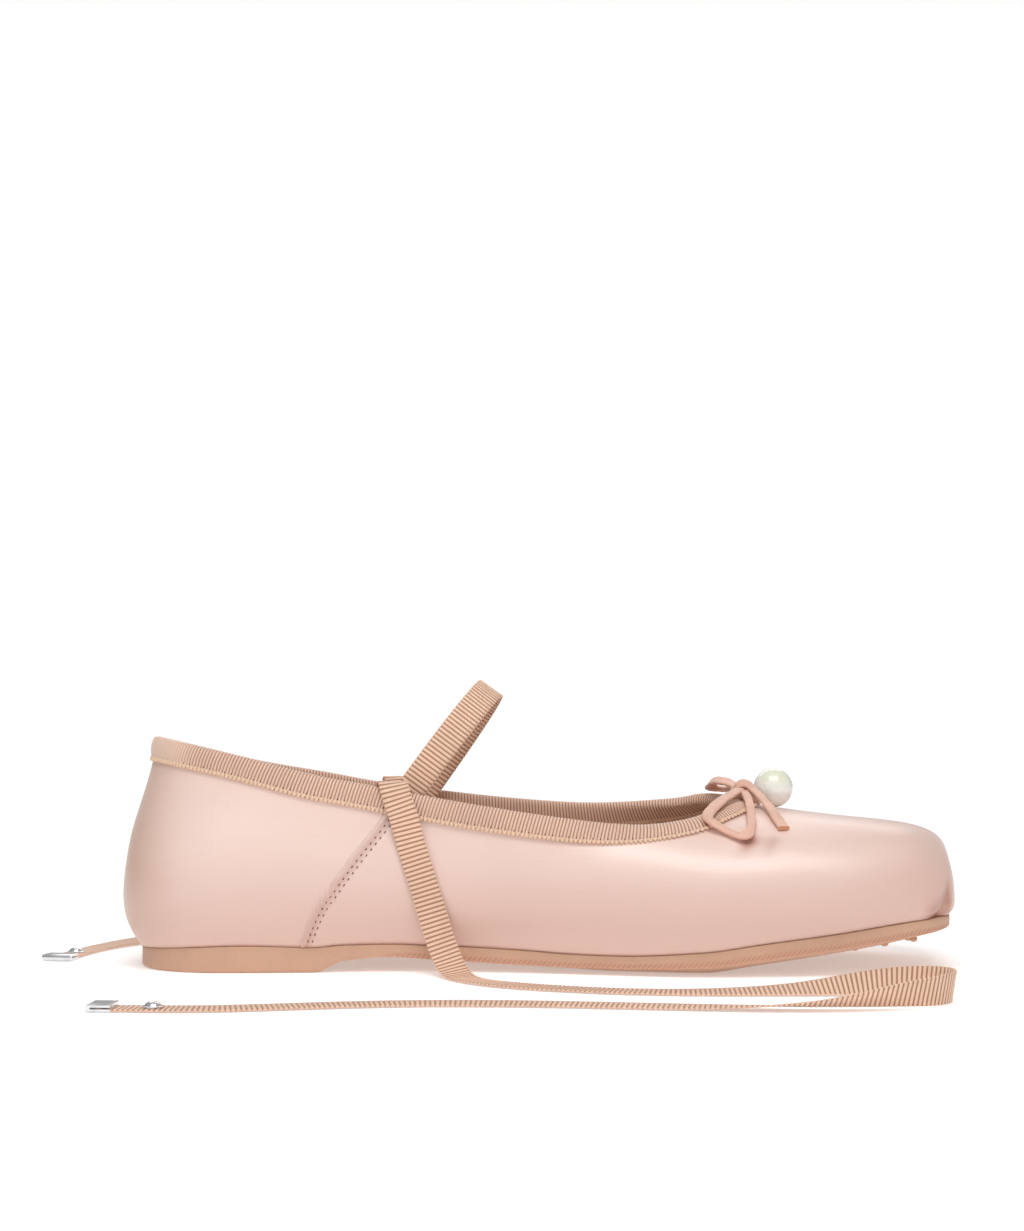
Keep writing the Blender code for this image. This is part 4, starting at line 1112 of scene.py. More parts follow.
def seam_relief(points):
    """Height and painted shade of the side seam: a fold that falls to two stitched channels, then puckers."""
    x, z = points[..., 0], points[..., 2]
    across = (x - seam_x(z)) / seam_stretch(z)
    heights = np.linspace(0, 60, 240)
    travelled = arc_lengths(np.column_stack([seam_x(heights), heights]))
    along = np.interp(z, heights, travelled)
    step = smooth_step(-SEAM_EDGE_BACK - 0.5, -SEAM_EDGE_BACK + 0.1, across)
    fold = 1 - SEAM_FALL * smooth_step(-SEAM_EDGE_BACK, -0.1, across)
    fall = 1 - smooth_step(SEAM_ROW_GAP + 0.6, SEAM_RUN_OUT, across)
    waver = 1 + 0.10 * np.sin(along * 0.9) + 0.06 * np.sin(along * 2.3 + 1.0)
    relief = SEAM_FOLD_HEIGHT * step * fold * fall * waver
    relief += 0.16 * ridge(across, SEAM_ROW_GAP / 2, CHANNEL_WIDTH)
    pucker = 0.5 + 0.5 * np.cos(along * math.tau / SEAM_STITCH)
    relief += PUCKER_RISE * pucker * ridge(across, SEAM_ROW_GAP + 0.9, 0.6)
    for row in (0.0, SEAM_ROW_GAP):
        relief -= (CHANNEL_DEPTH + PUCKER_DEPTH * pucker) * ridge(across, row, CHANNEL_WIDTH)
    # Painted shade on the fold's slope, beside the back row and along the fold's lower edge.
    shade = 0.46 * band((-SEAM_EDGE_BACK - 0.8, -0.6, 0.2, SEAM_ROW_GAP + 0.4), across)
    shade += 0.16 * ridge(across, SEAM_ROW_GAP, 0.4)
    shade += 0.22 * ridge(across, -SEAM_EDGE_BACK - 0.35, 0.3) * (1 - smooth_step(18, 30, z))
    return relief, shade


def laid_on(surface, route):
    """A route's places, each moved to the nearest point of the surface."""
    return np.array([surface[np.argmin(((surface - place) ** 2).sum(axis=1))] for place in np.array(route)])


def crease_relief(points, spread=1.0):
    """Depth pressed in by the creases, with a low roll of cloth beside each, and the painted shade of the
    creases and the gathers.
    """
    flat = points.reshape(-1, 3)
    relief = np.zeros(len(flat))
    shade = np.zeros(len(flat))
    for depth, width, route in CREASES:
        route = laid_on(flat, route)
        nearby = np.flatnonzero(((flat - route.mean(axis=0)) ** 2).sum(axis=1) < CREASE_REACH**2)
        near, share = distance_to_route(flat[nearby], route)
        taper = 1 - smooth_step(0, 1, share)
        reach = spread * width * (CREASE_START - CREASE_NARROWING * share)
        valley = ridge(near, 0, reach)
        roll = ROLL_SHARE * ridge(near, ROLL_PLACE * reach, ROLL_WIDTH * reach)
        relief[nearby] -= depth * taper * (valley - roll)
        # Painted shade in each crease, more for narrow ones.
        shade[nearby] += depth * taper * valley * (NARROW_SHADE if width < WIDE_CREASE else WIDE_SHADE)
    # Painted shade only, with no dent, where the satin gathers.
    for amount, width, route in GATHER_SHADES:
        near, share = distance_to_route(flat, laid_on(flat, route))
        shade += amount * (1 - share) * ridge(near, 0, width * (CREASE_START - CREASE_NARROWING * share))
    return relief.reshape(points.shape[:-1]), shade.reshape(points.shape[:-1])


def distance_to_route(points, route):
    """How far each point is from a run of straight stretches, and how far along it lies, 0 to 1."""
    travelled = arc_lengths(route)
    best = np.full(len(points), np.inf)
    share = np.zeros(len(points))
    for index in range(len(route) - 1):
        step = route[index + 1] - route[index]
        along = np.clip((points - route[index]) @ step / (step @ step), 0, 1)
        gap = np.linalg.norm(points - route[index] - along[:, None] * step, axis=1)
        nearer = gap < best
        best[nearer] = gap[nearer]
        place = travelled[index] + along * (travelled[index + 1] - travelled[index])
        share[nearer] = (place / travelled[-1])[nearer]
    return best, share


def slack_relief(points):
    """The gentle unevenness of satin over its backing."""
    x, y, z = points[..., 0], points[..., 1], points[..., 2]
    wave = np.sin(x * 0.071 + z * 0.05 + 0.6) * np.sin(z * 0.13 - x * 0.02)
    wave = wave + 0.5 * np.sin(x * 0.163 - z * 0.21 + y * 0.05)
    return SLACK_HEIGHT * wave * band(SLACK_BAND, z)


def satin_surface(table):
    """The satin's face with its relief, the way it looks, its painted shade in creases, gathers and seam, and
    its back.
    """
    rings = upper_rings(table, SATIN_ROWS_BELOW, SATIN_ROWS_ABOVE)
    normals = ring_normals(rings)
    creases, hollow = crease_relief(rings)
    seam, shade = seam_relief(rings)
    height = creases + seam + slack_relief(rings)
    hollow = np.clip(hollow, 0, 1) + shade
    back = np.minimum(height + SATIN_SLACK, 0) - SATIN_WALL
    back[0] = height[0] - SATIN_WALL
    level = normals.copy()
    level[:FOOT_ROWS, :, 2] *= np.linspace(0, 1, FOOT_ROWS)[:, None]
    return rings + height[..., None] * level, normals, hollow, rings + back[..., None] * normals


def build_upper(colours):
    """The satin shell over its lining, both open at the collar and underneath."""
    table = LAST.spaced(satin_spacing)
    outer, _, hollow, inner = satin_surface(table)
    inner[0, :, 2] = outer[0, :, 2]
    keep = np.unique(np.r_[0:len(inner):BACK_ROW_STEP, len(inner) - 1])[::-1]
    rings = np.concatenate([outer, inner[keep]])
    shade = np.concatenate([hollow, hollow[keep]])
    faces = skin(len(rings), rings.shape[1], True)
    satin = add_mesh("upper_satin", rings, faces, hollow=shade)
    return finish_piece(satin, satin_finish(colours), "satin", "upper")


def build_lining(colours):
    table = LAST.paired(5)
    base = upper_rings(table, 6, LINING_ROWS)
    normals = ring_normals(base)
    pressed = np.minimum(crease_relief(base, LINING_SPREAD)[0], 0)[..., None] * normals
    face = base - UPPER_WALL * normals + pressed
    back = base - (SATIN_WALL + LINING_GAP) * normals + LINING_PRESS * pressed
    for layer in (face, back):
        layer[0, :, 2] = base[0, :, 2]
    rings = np.concatenate([back, face[::-1]])
    lining = add_mesh("upper_lining", rings, skin(len(rings), rings.shape[1], True))
    return finish_piece(lining, lining_finish(colours), "lining")


def wall_rows(side, x_at, heights):
    """Points and outward directions on the upper where x_at crosses each height on one side."""
    table = LAST.paired(12)
    outer, normals, _, _ = satin_surface(table)
    flat, facing = outer.reshape(-1, 3), normals.reshape(-1, 3)
    on_side = np.flatnonzero(flat[:, 1] * side > 5)
    points, faces_to = [], []
    for z in heights:
        x = x_at(z)
        gap = (flat[on_side, 0] - x) ** 2 + (flat[on_side, 2] - z) ** 2
        nearest = on_side[np.argsort(gap)[:WALL_NEIGHBOURS]]
        weights = 1 / (np.sort(gap)[:WALL_NEIGHBOURS] + 0.02)
        weights /= weights.sum()
        place = weights @ flat[nearest]
        normal = unit(weights @ facing[nearest])
        place[0], place[2] = x, z
        points.append(place)
        faces_to.append(normal)
    return np.array(points), np.array(faces_to)


def build_seams(colours, sizes):
    """Two rows of stitches down the side seam on each side."""
    thread = thread_finish("seam_thread", colours.thread)
    pitch = sizes.seam_stitch / MM
    heights = np.linspace(SEAM_FOOT, SEAM_TOP, 400)
    for side, label in ((-1, "near"), (1, "far")):
        for row, offset in (("front", 0.0), ("back", SEAM_ROW_GAP)):
            def x_at(z, offset=offset):
                return seam_x(z) + offset * seam_stretch(z)

            travelled = arc_lengths(np.column_stack([x_at(heights), heights]))
            count = int(travelled[-1] / pitch)
            at = np.interp((np.arange(count) + 0.5) * pitch, travelled, heights)
            points, facing = wall_rows(side, x_at, at)
            points = points + facing * STITCH_LIFT
            size = STITCH_LENGTH_SHARE * pitch, STITCH_WIDTH, STITCH_HEIGHT
            stitches = sew(f"seam_stitches_{row}_{label}", points, facing, thread, *size)
            finish_piece(stitches, None, "satin")


# ---------------------------------------------------------------- the collar binding

SAMPLES_A_RIB = 4
RIB_SLANT = -0.12
BULGE_OUTSIDE, BULGE_INSIDE = 1.15, 1.1
BINDING_MIDDLE = 2.5
EDGE_RIBBED = 0.35
HEEL_RIBBED = 0.4
HEEL_RIBS_FADE = (-112, -98)
PICOT_SHARE, PICOT_WIDTH, PICOT_HEIGHT = 0.90, 1.45, 0.75
BINDING_STITCH_SIZE = (0.55, 0.5, 0.2)


def binding_frame(table):
    """A reader of places on and beside the wall at given depths below the collar's edge."""
    fine = upper_rings(table, 3, 90)[::-1]
    normals = ring_normals(fine[::-1])[::-1]
    steps = np.linalg.norm(np.diff(fine, axis=0), axis=2)
    depth = np.concatenate([np.zeros((1, fine.shape[1])), np.cumsum(steps, axis=0)])
    along = unit(np.roll(fine[0], -1, axis=0) - np.roll(fine[0], 1, axis=0))
    down = unit(fine[1] - fine[0])
    slant = np.linalg.norm(np.cross(along, down), axis=1)
    lean = (along * down).sum(axis=1)
    step = np.linalg.norm(np.roll(fine[0], -1, axis=0) - fine[0], axis=1).mean()

    def at(profile):
        """Rings for rows of (depth, offset); a depth below zero stands above the edge."""
        profile = np.array(profile)
        rings = np.empty((len(profile), fine.shape[1], 3))
        facing = np.empty_like(rings)
        count = np.arange(fine.shape[1])
        for index in range(fine.shape[1]):
            reach = profile[:, 0] / slant[index]
            for made, source in ((rings, fine), (facing, normals)):
                for axis in range(3):
                    made[:, index, axis] = np.interp(reach, depth[:, index], source[:, index, axis])
            rings[:, index] += np.minimum(reach, 0)[:, None] * down[index]
        for row, depth_down in enumerate(profile[:, 0]):
            wanted = count - depth_down / slant * (lean + RIB_SLANT) / step
            for made in (rings, facing):
                for axis in range(3):
                    made[row, :, axis] = np.interp(wanted, count, made[row, :, axis], period=len(count))
        facing = unit(facing)
        return rings + facing * profile[:, 1, None, None], facing

    return at


def binding_turn(degrees, bulge):
    """Rows over the collar's edge, where the ribbon turns from one side to the other."""
    half = UPPER_WALL / 2 + bulge
    turns = [math.radians(angle) for angle in degrees]
    rises = [-BINDING_TOP_RISE * math.sin(turn) for turn in turns]
    return [(rise, -UPPER_WALL / 2 + half * math.cos(turn), 1.0) for rise, turn in zip(rises, turns)]


def binding_profile():
    """Rows of (depth, offset, how ribbed) around the folded ribbon."""
    def ribbed(depth):
        return 1.0 if depth < BINDING_EDGE else EDGE_RIBBED

    inner = -UPPER_WALL
    rows = [(-BINDING_TOP_RISE, -UPPER_WALL / 2, 1.0), *binding_turn((60, 30), BULGE_OUTSIDE)]
    rows += [(depth, off, ribbed(depth)) for depth, off in BINDING_OUTSIDE]
    rows += [(BINDING_HEM, 0.45, 0.0), (BINDING_EDGE, GAP, 0.0), (BINDING_MIDDLE, GAP, 0.0), (-GAP, 0.1, 0.0)]
    rows += [(-GAP, inner - 0.1, 0.0), (BINDING_MIDDLE, inner - GAP, 0.0)]
    rows += [(BINDING_EDGE, inner - GAP, 0.0), (BINDING_HEM, inner - 0.5, 0.0)]
    rows += [(depth, inner - off, ribbed(depth)) for depth, off in BINDING_INSIDE]
    return rows + binding_turn((150, 120), BULGE_INSIDE)


def build_binding(colours, sizes):
    """Grosgrain folded over the collar, ribbed across, with a picot edge inside and out."""
    pitch = sizes.binding_rib / MM
    ribs = round(LAST.collar_length() / pitch)
    pitch = LAST.collar_length() / ribs
    table, length = LAST.along_collar(ribs * SAMPLES_A_RIB)
    profile = binding_profile()
    rings, _ = binding_frame(table)([row[:2] for row in profile])
    along = np.tile(np.arange(rings.shape[1]) * length / rings.shape[1], (len(profile), 1))
    ribbed = np.repeat([row[2] for row in profile], rings.shape[1])
    heel = smooth_step(*HEEL_RIBS_FADE, rings[..., 0]).ravel() * (1 - HEEL_RIBBED) + HEEL_RIBBED
    faces = skin(len(rings), rings.shape[1], True)
    binding = add_mesh("collar_ribbon", rings, faces, along=along, ribbed=ribbed * heel)
    finish = grosgrain_finish("binding_grosgrain", colours.binding, colours.binding_groove_shade, pitch)
    run_pattern(binding, ribs_pattern(), finish, Pitch=pitch, Depth=sizes.binding_rib_depth / MM)
    finish_piece(binding, None, "binding", "collar_binding")
    edge = picot_finish(colours)
    picots = round(length / (sizes.picot / MM))
    table, _ = LAST.along_collar(picots)
    reader = binding_frame(table)
    size = PICOT_SHARE * length / picots, PICOT_WIDTH, PICOT_HEIGHT
    for name, offset, side in (("picot_outside", 0.72, 1), ("picot_inside", -UPPER_WALL - 0.8, -1)):
        places, facing = reader([(PICOT_DEPTH, offset)])
        row = sew(name, places[0], facing[0] * side, edge, *size)
        finish_piece(row, None, "binding")
    stitches = round(length / (sizes.binding_stitch / MM))
    table, _ = LAST.along_collar(stitches)
    places, facing = binding_frame(table)([(BINDING_STITCH_DEPTH, 0.80)])
    thread = thread_finish("binding_thread", colours.binding_thread)
    row = sew("binding_stitches", places[0], facing[0], thread, *BINDING_STITCH_SIZE)
    finish_piece(row, None, "binding")


# ---------------------------------------------------------------- the sole and insole

SERRATION_SLANT = 0.9
SOLE_REFINE = 20
TREAD_GROOVE = 3.4
TREAD_DEPTH = 0.45
TREAD_HEEL, TREAD_BALL = (-112, -106, -70, -64), (-4, 4, 74, 82)
NUB_ROWS = (81.5, 90.0, 98.6, 107.0)
NUB_GAP = 7.8
NUB_REACH, NUB_TAPER = 27.3, 0.08
NUB_HEIGHT, NUB_SINK = 1.9, 0.35
TOE_HALF_WIDTH = 33
INSOLE_INSET = 0.2
INSOLE_EDGE = ((0.12, 1.85), (0.45, 2.2), (1.0, 2.38), (2.2, 2.40), (2.9, 2.28), (3.6, 2.40), (6.0, 2.42))
INSOLE_SIDE, INSOLE_TOP, INSOLE_DISH = 1.4, 2.42, 0.35


def facing_pairs(size):
    """Index pairs of a closed ring that face each other across the shoe, toe and heel left out."""
    return [(index, size - index) for index in range(1, size // 2)]


def cap(ring_start, size, points, height, spans):
    """Closes a ring with strips across the shoe, whose inner points take their height from x, y."""
    rows = [[ring_start]]
    for left, right in facing_pairs(size):
        start, end = points[ring_start + left], points[ring_start + right]
        row = [ring_start + left]
        for share in np.linspace(0, 1, spans + 1)[1:-1]:
            point = start + (end - start) * share
            point[2] = height(point, share)
            row.append(len(points))
            points.append(point)
        rows.append(row + [ring_start + right])
    rows.append([ring_start + size // 2])
    faces = []
    for front, back in zip(rows, rows[1:]):
        for index in range(max(len(front), len(back)) - 1):
            quad = [
                front[min(index, len(front) - 1)],
                front[min(index + 1, len(front) - 1)],
                back[min(index + 1, len(back) - 1)],
                back[min(index, len(back) - 1)],
            ]
            faces.append(list(dict.fromkeys(quad)))
    return faces


def slab(name, rings, under, over, spans, **attributes):
    """A closed piece with rings for its side, capped below its first and above its last."""
    size = len(rings[0])
    points = [np.array(point) for ring in rings for point in ring]
    faces = skin(len(rings), size, False).tolist()
    faces += cap(0, size, points, under, spans[0])
    faces += [list(reversed(face)) for face in cap((len(rings) - 1) * size, size, points, over, spans[1])]
    padded = {
        key: np.concatenate([np.ravel(values), np.zeros(len(points) - len(rings) * size)])
        for key, values in attributes.items()
    }
    return add_mesh(name, points, faces, 55.0, **padded)


def tread(point, _):
    """Underside of the sole with shallow grooves across the heel and the ball."""
    x = point[0]
    zone = band(TREAD_HEEL, x) + band(TREAD_BALL, x)
    groove = smooth_step(0.55, 0.8, 0.5 + 0.5 * math.cos(math.tau * x / TREAD_GROOVE))
    return sole_height_at(x, UNDER_MIDDLE) + TREAD_DEPTH * zone * groove


def outsole_plan(table, inset):
    """The sole's outline moved inwards by inset, and tucked further in behind the heel."""
    x = table["x"]
    tuck = SOLE_HEEL_TUCK * (1 - smooth_step(0, SOLE_HEEL_TUCK_RUN, x - x.min()))
    return edge_plan(table, inset + tuck[:, None])


def build_outsole(colours, sizes):
    """The moulded sole: crowned underside, serrated lower edge, plain heel, rounded top edge."""
    table = LAST.paired(SOLE_REFINE)
    plan = outsole_plan(table, 0.0)
    base, seat = sole_height(plan[:, 0], UNDER_EDGE), sole_height(plan[:, 0], SEAT)
    inner = outsole_plan(table, SOLE_CROWN_WIDTH)
    middle = sole_height(inner[:, 0], UNDER_MIDDLE)
    arch = smooth_step(-52, -36, plan[:, 0])
    rings = [raised(inner, middle)]
    ribbed = [0 * base]
    for share in (0.35, 0.7):
        inset = SOLE_CROWN_WIDTH * (1 - share) + SOLE_BOTTOM_CHAMFER * share
        rings.append(raised(outsole_plan(table, inset), middle + (base - middle) * share))
        ribbed.append(0 * base)
    rise = seat - SOLE_TOP_ROUND - base - SOLE_CHAMFER_HEIGHT
    for inset, height, mark in (
        (SOLE_BOTTOM_CHAMFER, 0.0, 0.55), (0.95, 0.12, 0.9), (0.42, 0.40, 1.0), (0.10, 0.72, 1.0)
    ):
        rings.append(raised(outsole_plan(table, inset), base + height))
        ribbed.append(mark * (0.25 + 0.75 * arch))
    for share, mark in ((0.12, 1.0), (0.28, 0.85), (0.44, 0.35), (0.58, 0.0), (0.8, 0.0), (1.0, 0.0)):
        rings.append(raised(plan, base + SOLE_CHAMFER_HEIGHT + rise * share))
        ribbed.append(mark * arch)
    for inset, drop in ((0.12, 0.12), (SOLE_TOP_ROUND, 0.0), (1.6, 0.0)):
        ring = outsole_plan(table, inset)
        rings.append(raised(ring, sole_height(ring[:, 0], SEAT) - drop))
        ribbed.append(0 * base)
    rings = np.array(rings)
    edge_run = arc_lengths(plan)
    pitch = sizes.serration / MM
    notches = round((edge_run[-1] + 0.3) / pitch)
    along = edge_run * notches * SERRATION / edge_run[-1] + SERRATION_SLANT * (rings[..., 2] - base)

    def over(point, _):
        return sole_height_at(point[0], SEAT)

    sole = slab("moulded_sole", rings, tread, over, (10, 4), along=along, ribbed=np.array(ribbed))
    depth = sizes.serration_depth / MM
    run_pattern(sole, ribs_pattern(), sole_finish(colours), Pitch=SERRATION, Depth=depth)
    return finish_piece(sole, None, "outsole", "outsole")


def build_nubs(sizes):
    """Low round nubs under the toe, where the sole springs off the floor."""
    points = []
    for x in NUB_ROWS:
        reach = NUB_REACH - NUB_TAPER * (x - NUB_ROWS[0])
        for y in np.linspace(-reach, reach, 2 * round(reach / NUB_GAP) + 1):
            share = (y / TOE_HALF_WIDTH) ** 2
            level = sole_height_at(x, UNDER_MIDDLE) * (1 - share) + sole_height_at(x, UNDER_EDGE) * share
            points.append((x, y, level - NUB_SINK))
    facing = np.tile((0.0, 0.0, 1.0), (len(points), 1))
    nub = sizes.nub / MM
    nubs = sew("tread_nubs", points, facing, bpy.data.materials["moulded_sole"], nub, nub, NUB_HEIGHT)
    return finish_piece(nubs, None, "outsole")


def build_insole(colours):
    """The sock lining: gently dished, with a rounded edge and a sewn line round it."""
    table = LAST.paired(6)
    inset = UPPER_SETBACK + UPPER_WALL + GAP + INSOLE_INSET
    side = edge_plan(table, inset)
    low = sole_height(side[:, 0], SEAT) + GAP
    rings = [raised(side, low), raised(side, low + INSOLE_SIDE)]
    for step, height in INSOLE_EDGE:
        ring = edge_plan(table, inset + step)
        rings.append(raised(ring, sole_height(ring[:, 0], SEAT) + GAP + height))

    def under(point, _):
        return sole_height_at(point[0], SEAT) + GAP

    def dish(point, share):
        return under(point, share) + INSOLE_TOP - INSOLE_DISH * math.sin(math.pi * share) ** 2

    insole = slab("sock_lining", rings, under, dish, (4, 22))
    return finish_piece(insole, lining_finish(colours, "sock_lining"), "lining", "insole")


# ---------------------------------------------------------------- the ribbons

SELVEDGE = 0.22


def ribbon_section(width, thickness):
    """Rows of (across, up, how ribbed) around a ribbon with rounded selvedges."""
    half, rise = width / 2, thickness / 2
    top = [(-half + SELVEDGE, rise, 1.0)]
    top += [(half * share, rise, 1.0) for share in (-0.6, -0.2, 0.2, 0.6)]
    top += [(half - SELVEDGE, rise, 1.0), (half, 0.0, 0.7)]
    return top + [(-across, -up, ribbed) for across, up, ribbed in top]


def sweep(name, route, facing, section, **attributes):
    """A strip or lace: the flat section carried along the route, its face kept as given."""
    along = unit(np.gradient(route, axis=0))
    across = unit(np.cross(along, facing))
    face = np.cross(across, along)
    section = np.array(section)
    if section.ndim == 2:
        section = np.tile(section, (len(route), 1, 1))
    rings = route[:, None] + across[:, None] * section[:, :, :1] + face[:, None] * section[:, :, 1:2]
    return add_mesh(name, rings, tube(len(rings), section.shape[1]), 60.0, **attributes)


def build_ribbon(name, route, facing, width, pitch, depth, finish):
    section = ribbon_section(width, RIBBON_THICKNESS)
    travelled = arc_lengths(route)
    along = np.repeat(travelled, len(section))
    plain_ends = np.ones(len(route))
    plain_ends[:3], plain_ends[-3:] = 0, 0
    ribbed = np.tile([row[2] for row in section], len(route)) * np.repeat(plain_ends, len(section))
    ribbon = sweep(name, route, facing, [row[:2] for row in section], along=along, ribbed=ribbed)
    return run_pattern(ribbon, ribs_pattern(), finish, Pitch=pitch, Depth=depth)


def lying_on_floor(rows, width):
    """Turns rows of x, y and lean into rows of a place and a face direction."""
    route = np.array(rows, dtype=float)
    heading = unit(np.gradient(route[:, :2], axis=0))
    lean = np.radians(route[:, 2])
    right = np.stack([heading[:, 1], -heading[:, 0]], axis=1)
    faces = np.column_stack([right * np.sin(lean)[:, None], np.cos(lean)])
    lift = width / 2 * np.abs(np.sin(lean)) + RIBBON_THICKNESS / 2 * np.cos(lean) + FLOOR_CLEARANCE
    return [tuple(row) for row in np.column_stack([route[:, :2], lift, faces])]


TIP_LENGTH, TIP_WIDTH, TIP_THICKNESS = 6.5, 9.0, 1.7
TIP_SHEET = 0.4
STUD_RADIUS, STUD_HEIGHT, STUD_FROM_END = 2.7, 1.3, 9.5
TIE_TUCK = np.linspace(0.4, 3.2, 8)[:, None]


def build_tie(side, drop, floor, finish, metal, sizes):
    """One ankle tie with its clamped tip and its stud."""
    pitch = sizes.tie_rib / MM
    rows = [*drop, *lying_on_floor(floor, TIE_WIDTH)]
    route = open_spline(rows, pitch / SAMPLES_A_RIB)
    points, facing = route[:, :3], unit(route[:, 3:])
    heading = unit(points[-1] - points[-2])
    path = np.concatenate([points, points[-1] + heading * TIE_TUCK])
    facing = np.concatenate([facing, np.tile(facing[-1], (len(TIE_TUCK), 1))])
    tie = build_ribbon(f"tie_{side}", path, facing, TIE_WIDTH, pitch, sizes.tie_rib_depth / MM, finish)
    tip = build_tip(f"tip_{side}", points[-1] + heading * (GAP + TIP_LENGTH / 2), heading)
    stud = build_stud(f"stud_{side}", points[-1] - heading * STUD_FROM_END)
    finish_piece(tie, None, "tie", f"ankle_tie_{side}")
    finish_piece(tip, metal, "metal", f"tie_tip_{side}")
    finish_piece(stud, metal, "metal", f"tie_stud_{side}")
    tuple(points[0] * MM)


def build_tip(name, centre, heading):
    """A folded sheet-metal clamp: two plates pressed over the ribbon and joined by a rounded fold."""
    across = np.array([-heading[1], heading[0], 0.0])
    half, plate = TIP_THICKNESS / 2, TIP_SHEET
    outline = [(-1.0, plate - half + 0.22), (-1.0, -half + 0.1), (-0.97, -half)]
    outline += [(0.86, -half)]
    outline += [(0.86 + 0.14 * math.sin(a), -half * math.cos(a)) for a in np.radians((30, 60, 90, 120, 150))]
    outline += [(0.86, half), (-0.97, half), (-1.0, half - 0.1), (-1.0, half - plate - 0.22)]
    outline += [(0.55, half - plate - 0.22), (0.62, 0.0), (0.55, plate - half + 0.22)]
    rings = []
    for y, inset in ((-1.0, 0.10), (-0.975, 0.0), (0.975, 0.0), (1.0, 0.10)):
        ring = []
        for x, z in outline:
            level = (0, 0, z * (1 - inset * (abs(z) > 0.5)))
            ring.append(centre + heading * x * TIP_LENGTH / 2 + across * y * TIP_WIDTH / 2 + level)
        rings.append(ring)
    rings = np.array(rings)
    rings[..., 2] += half + FLOOR_CLEARANCE - centre[2]
    return add_mesh(name, rings, tube(len(rings), rings.shape[1]), 35.0)


def revolved(name, profile, centre, segments):
    """A solid turned about an upright line through centre, from rows of (radius, height)."""
    angles = np.arange(segments) * math.tau / segments
    around = np.column_stack([np.cos(angles), np.sin(angles), 0 * angles])
    rings = [centre + (0, 0, height) + radius * around for radius, height in profile]
    return add_mesh(name, np.array(rings), tube(len(rings), segments), 40.0)


def build_stud(name, foot):
    """A plain domed stud with a flat flange."""
    rim = foot + (0, 0, RIBBON_THICKNESS / 2)
    radius, height = STUD_RADIUS, STUD_HEIGHT
    profile = [(radius, 0.06), (radius, 0.32), (radius - 0.12, 0.42), (radius * 0.82, 0.45)]
    for angle in np.radians((8, 22, 36, 50, 64, 78)):
        profile.append((radius * 0.78 * math.cos(angle), 0.45 + (height + GAP - 0.47) * math.sin(angle)))
    profile.append((0.12, height + GAP - 0.02))
    return revolved(name, profile, rim, 40)


def build_ties(colours, sizes):
    pitch = sizes.tie_rib / MM
    ribbon = grosgrain_finish("tie_grosgrain", colours.ribbon, colours.ribbon_groove_shade, pitch)
    metal = metal_finish(colours)
    routes = (("near", NEAR_TIE_DROP, NEAR_TIE_FLOOR), ("far", FAR_TIE_DROP, FAR_TIE_FLOOR))
    for side, drop, floor in routes:
        build_tie(side, drop, floor, ribbon, metal, sizes)


def strap_route(spacing):
    """The strap's middle line, arched over the instep and leaning forwards, and how its face looks."""
    near, far, top = np.array(STRAP_NEAR_BASE), np.array(STRAP_FAR_BASE), np.array(STRAP_TOP)
    angles = np.linspace(0, math.pi, 200)[:, None]
    base = near + (far - near) * (1 - np.cos(angles)) / 2
    arch = base + (top - (near + far) / 2) * np.sin(angles)
    tucks = [foot - unit(top - foot) * [1, 0, 1] * STRAP_TUCK for foot in (near, far)]
    line = np.array([tucks[0], *arch, tucks[1]])
    travelled = arc_lengths(line)
    even = np.linspace(0, travelled[-1], round(travelled[-1] / spacing) + 1)
    points = np.stack([np.interp(even, travelled, line[:, axis]) for axis in range(3)], axis=1)
    up = unit(top - (near + far) / 2)
    plane = np.array([up[2], 0.0, -up[0]])
    return points, unit(np.cross(np.gradient(points, axis=0), plane))


def build_strap(colours, sizes):
    """The instep strap."""
    pitch = sizes.tie_rib / MM
    finish = grosgrain_finish("strap_grosgrain", colours.ribbon, colours.ribbon_groove_shade, pitch)
    points, facing = strap_route(pitch / SAMPLES_A_RIB)
    depth = sizes.tie_rib_depth / MM
    strap = build_ribbon("strap_ribbon", points, facing, STRAP_WIDTH, pitch, depth, finish)
    return finish_piece(strap, None, "strap", "instep_strap")


# ---------------------------------------------------------------- the bow and pearl

LACE_SPACING = 0.45
LACE_SIDES = 20

# How wide the lace lies along each part of the bow, as (share of its length, times the lace's width).
LACE_SPREAD = {
    "bow_loop_near": (
        (0.0, 1.0), (0.1, 1.28), (0.3, 1.22), (0.4, 1.02), (0.48, 0.84), (0.53, 0.88), (0.57, 1.2),
        (0.62, 0.88), (1.0, 0.82),
    ),
    "bow_loop_far": ((0.0, 1.0), (0.15, 1.3), (0.45, 1.35), (0.6, 1.1), (1.0, 1.0)),
    "bow_tail_near": ((0.0, 1.0), (0.2, 1.1), (0.5, 0.94), (1.0, 1.16)),
    "bow_tail_far": ((0.0, 0.9), (1.0, 1.0)),
}

# The near tail starts under the knot and is laid over it.
KNOT_CREST = (
    (58.4, -1.0, 50.8, -0.9, -0.3, 0.4),
    (58.8, -1.8, 52.4, -0.8, -0.5, 0.6),
    (60.3, -2.3, 53.5, -0.2, -0.7, 0.9),
    (62.0, -2.8, 53.1, 0.3, -0.6, 0.8),
)
KNOT_CORE = (3.3, 2.7, 2.6)
KNOT_CORE_DROP = 0.5
PEARL_RADIUS = 5.9
PEARL_CENTRE = (70.1, 2.0, 52.0)
PEARL_HOLE, PEARL_BORE_END = 0.55, 4.6
PEARL_TURNS, PEARL_RINGS = 72, 40
KNOT_TURNS, KNOT_ROWS = 40, 26


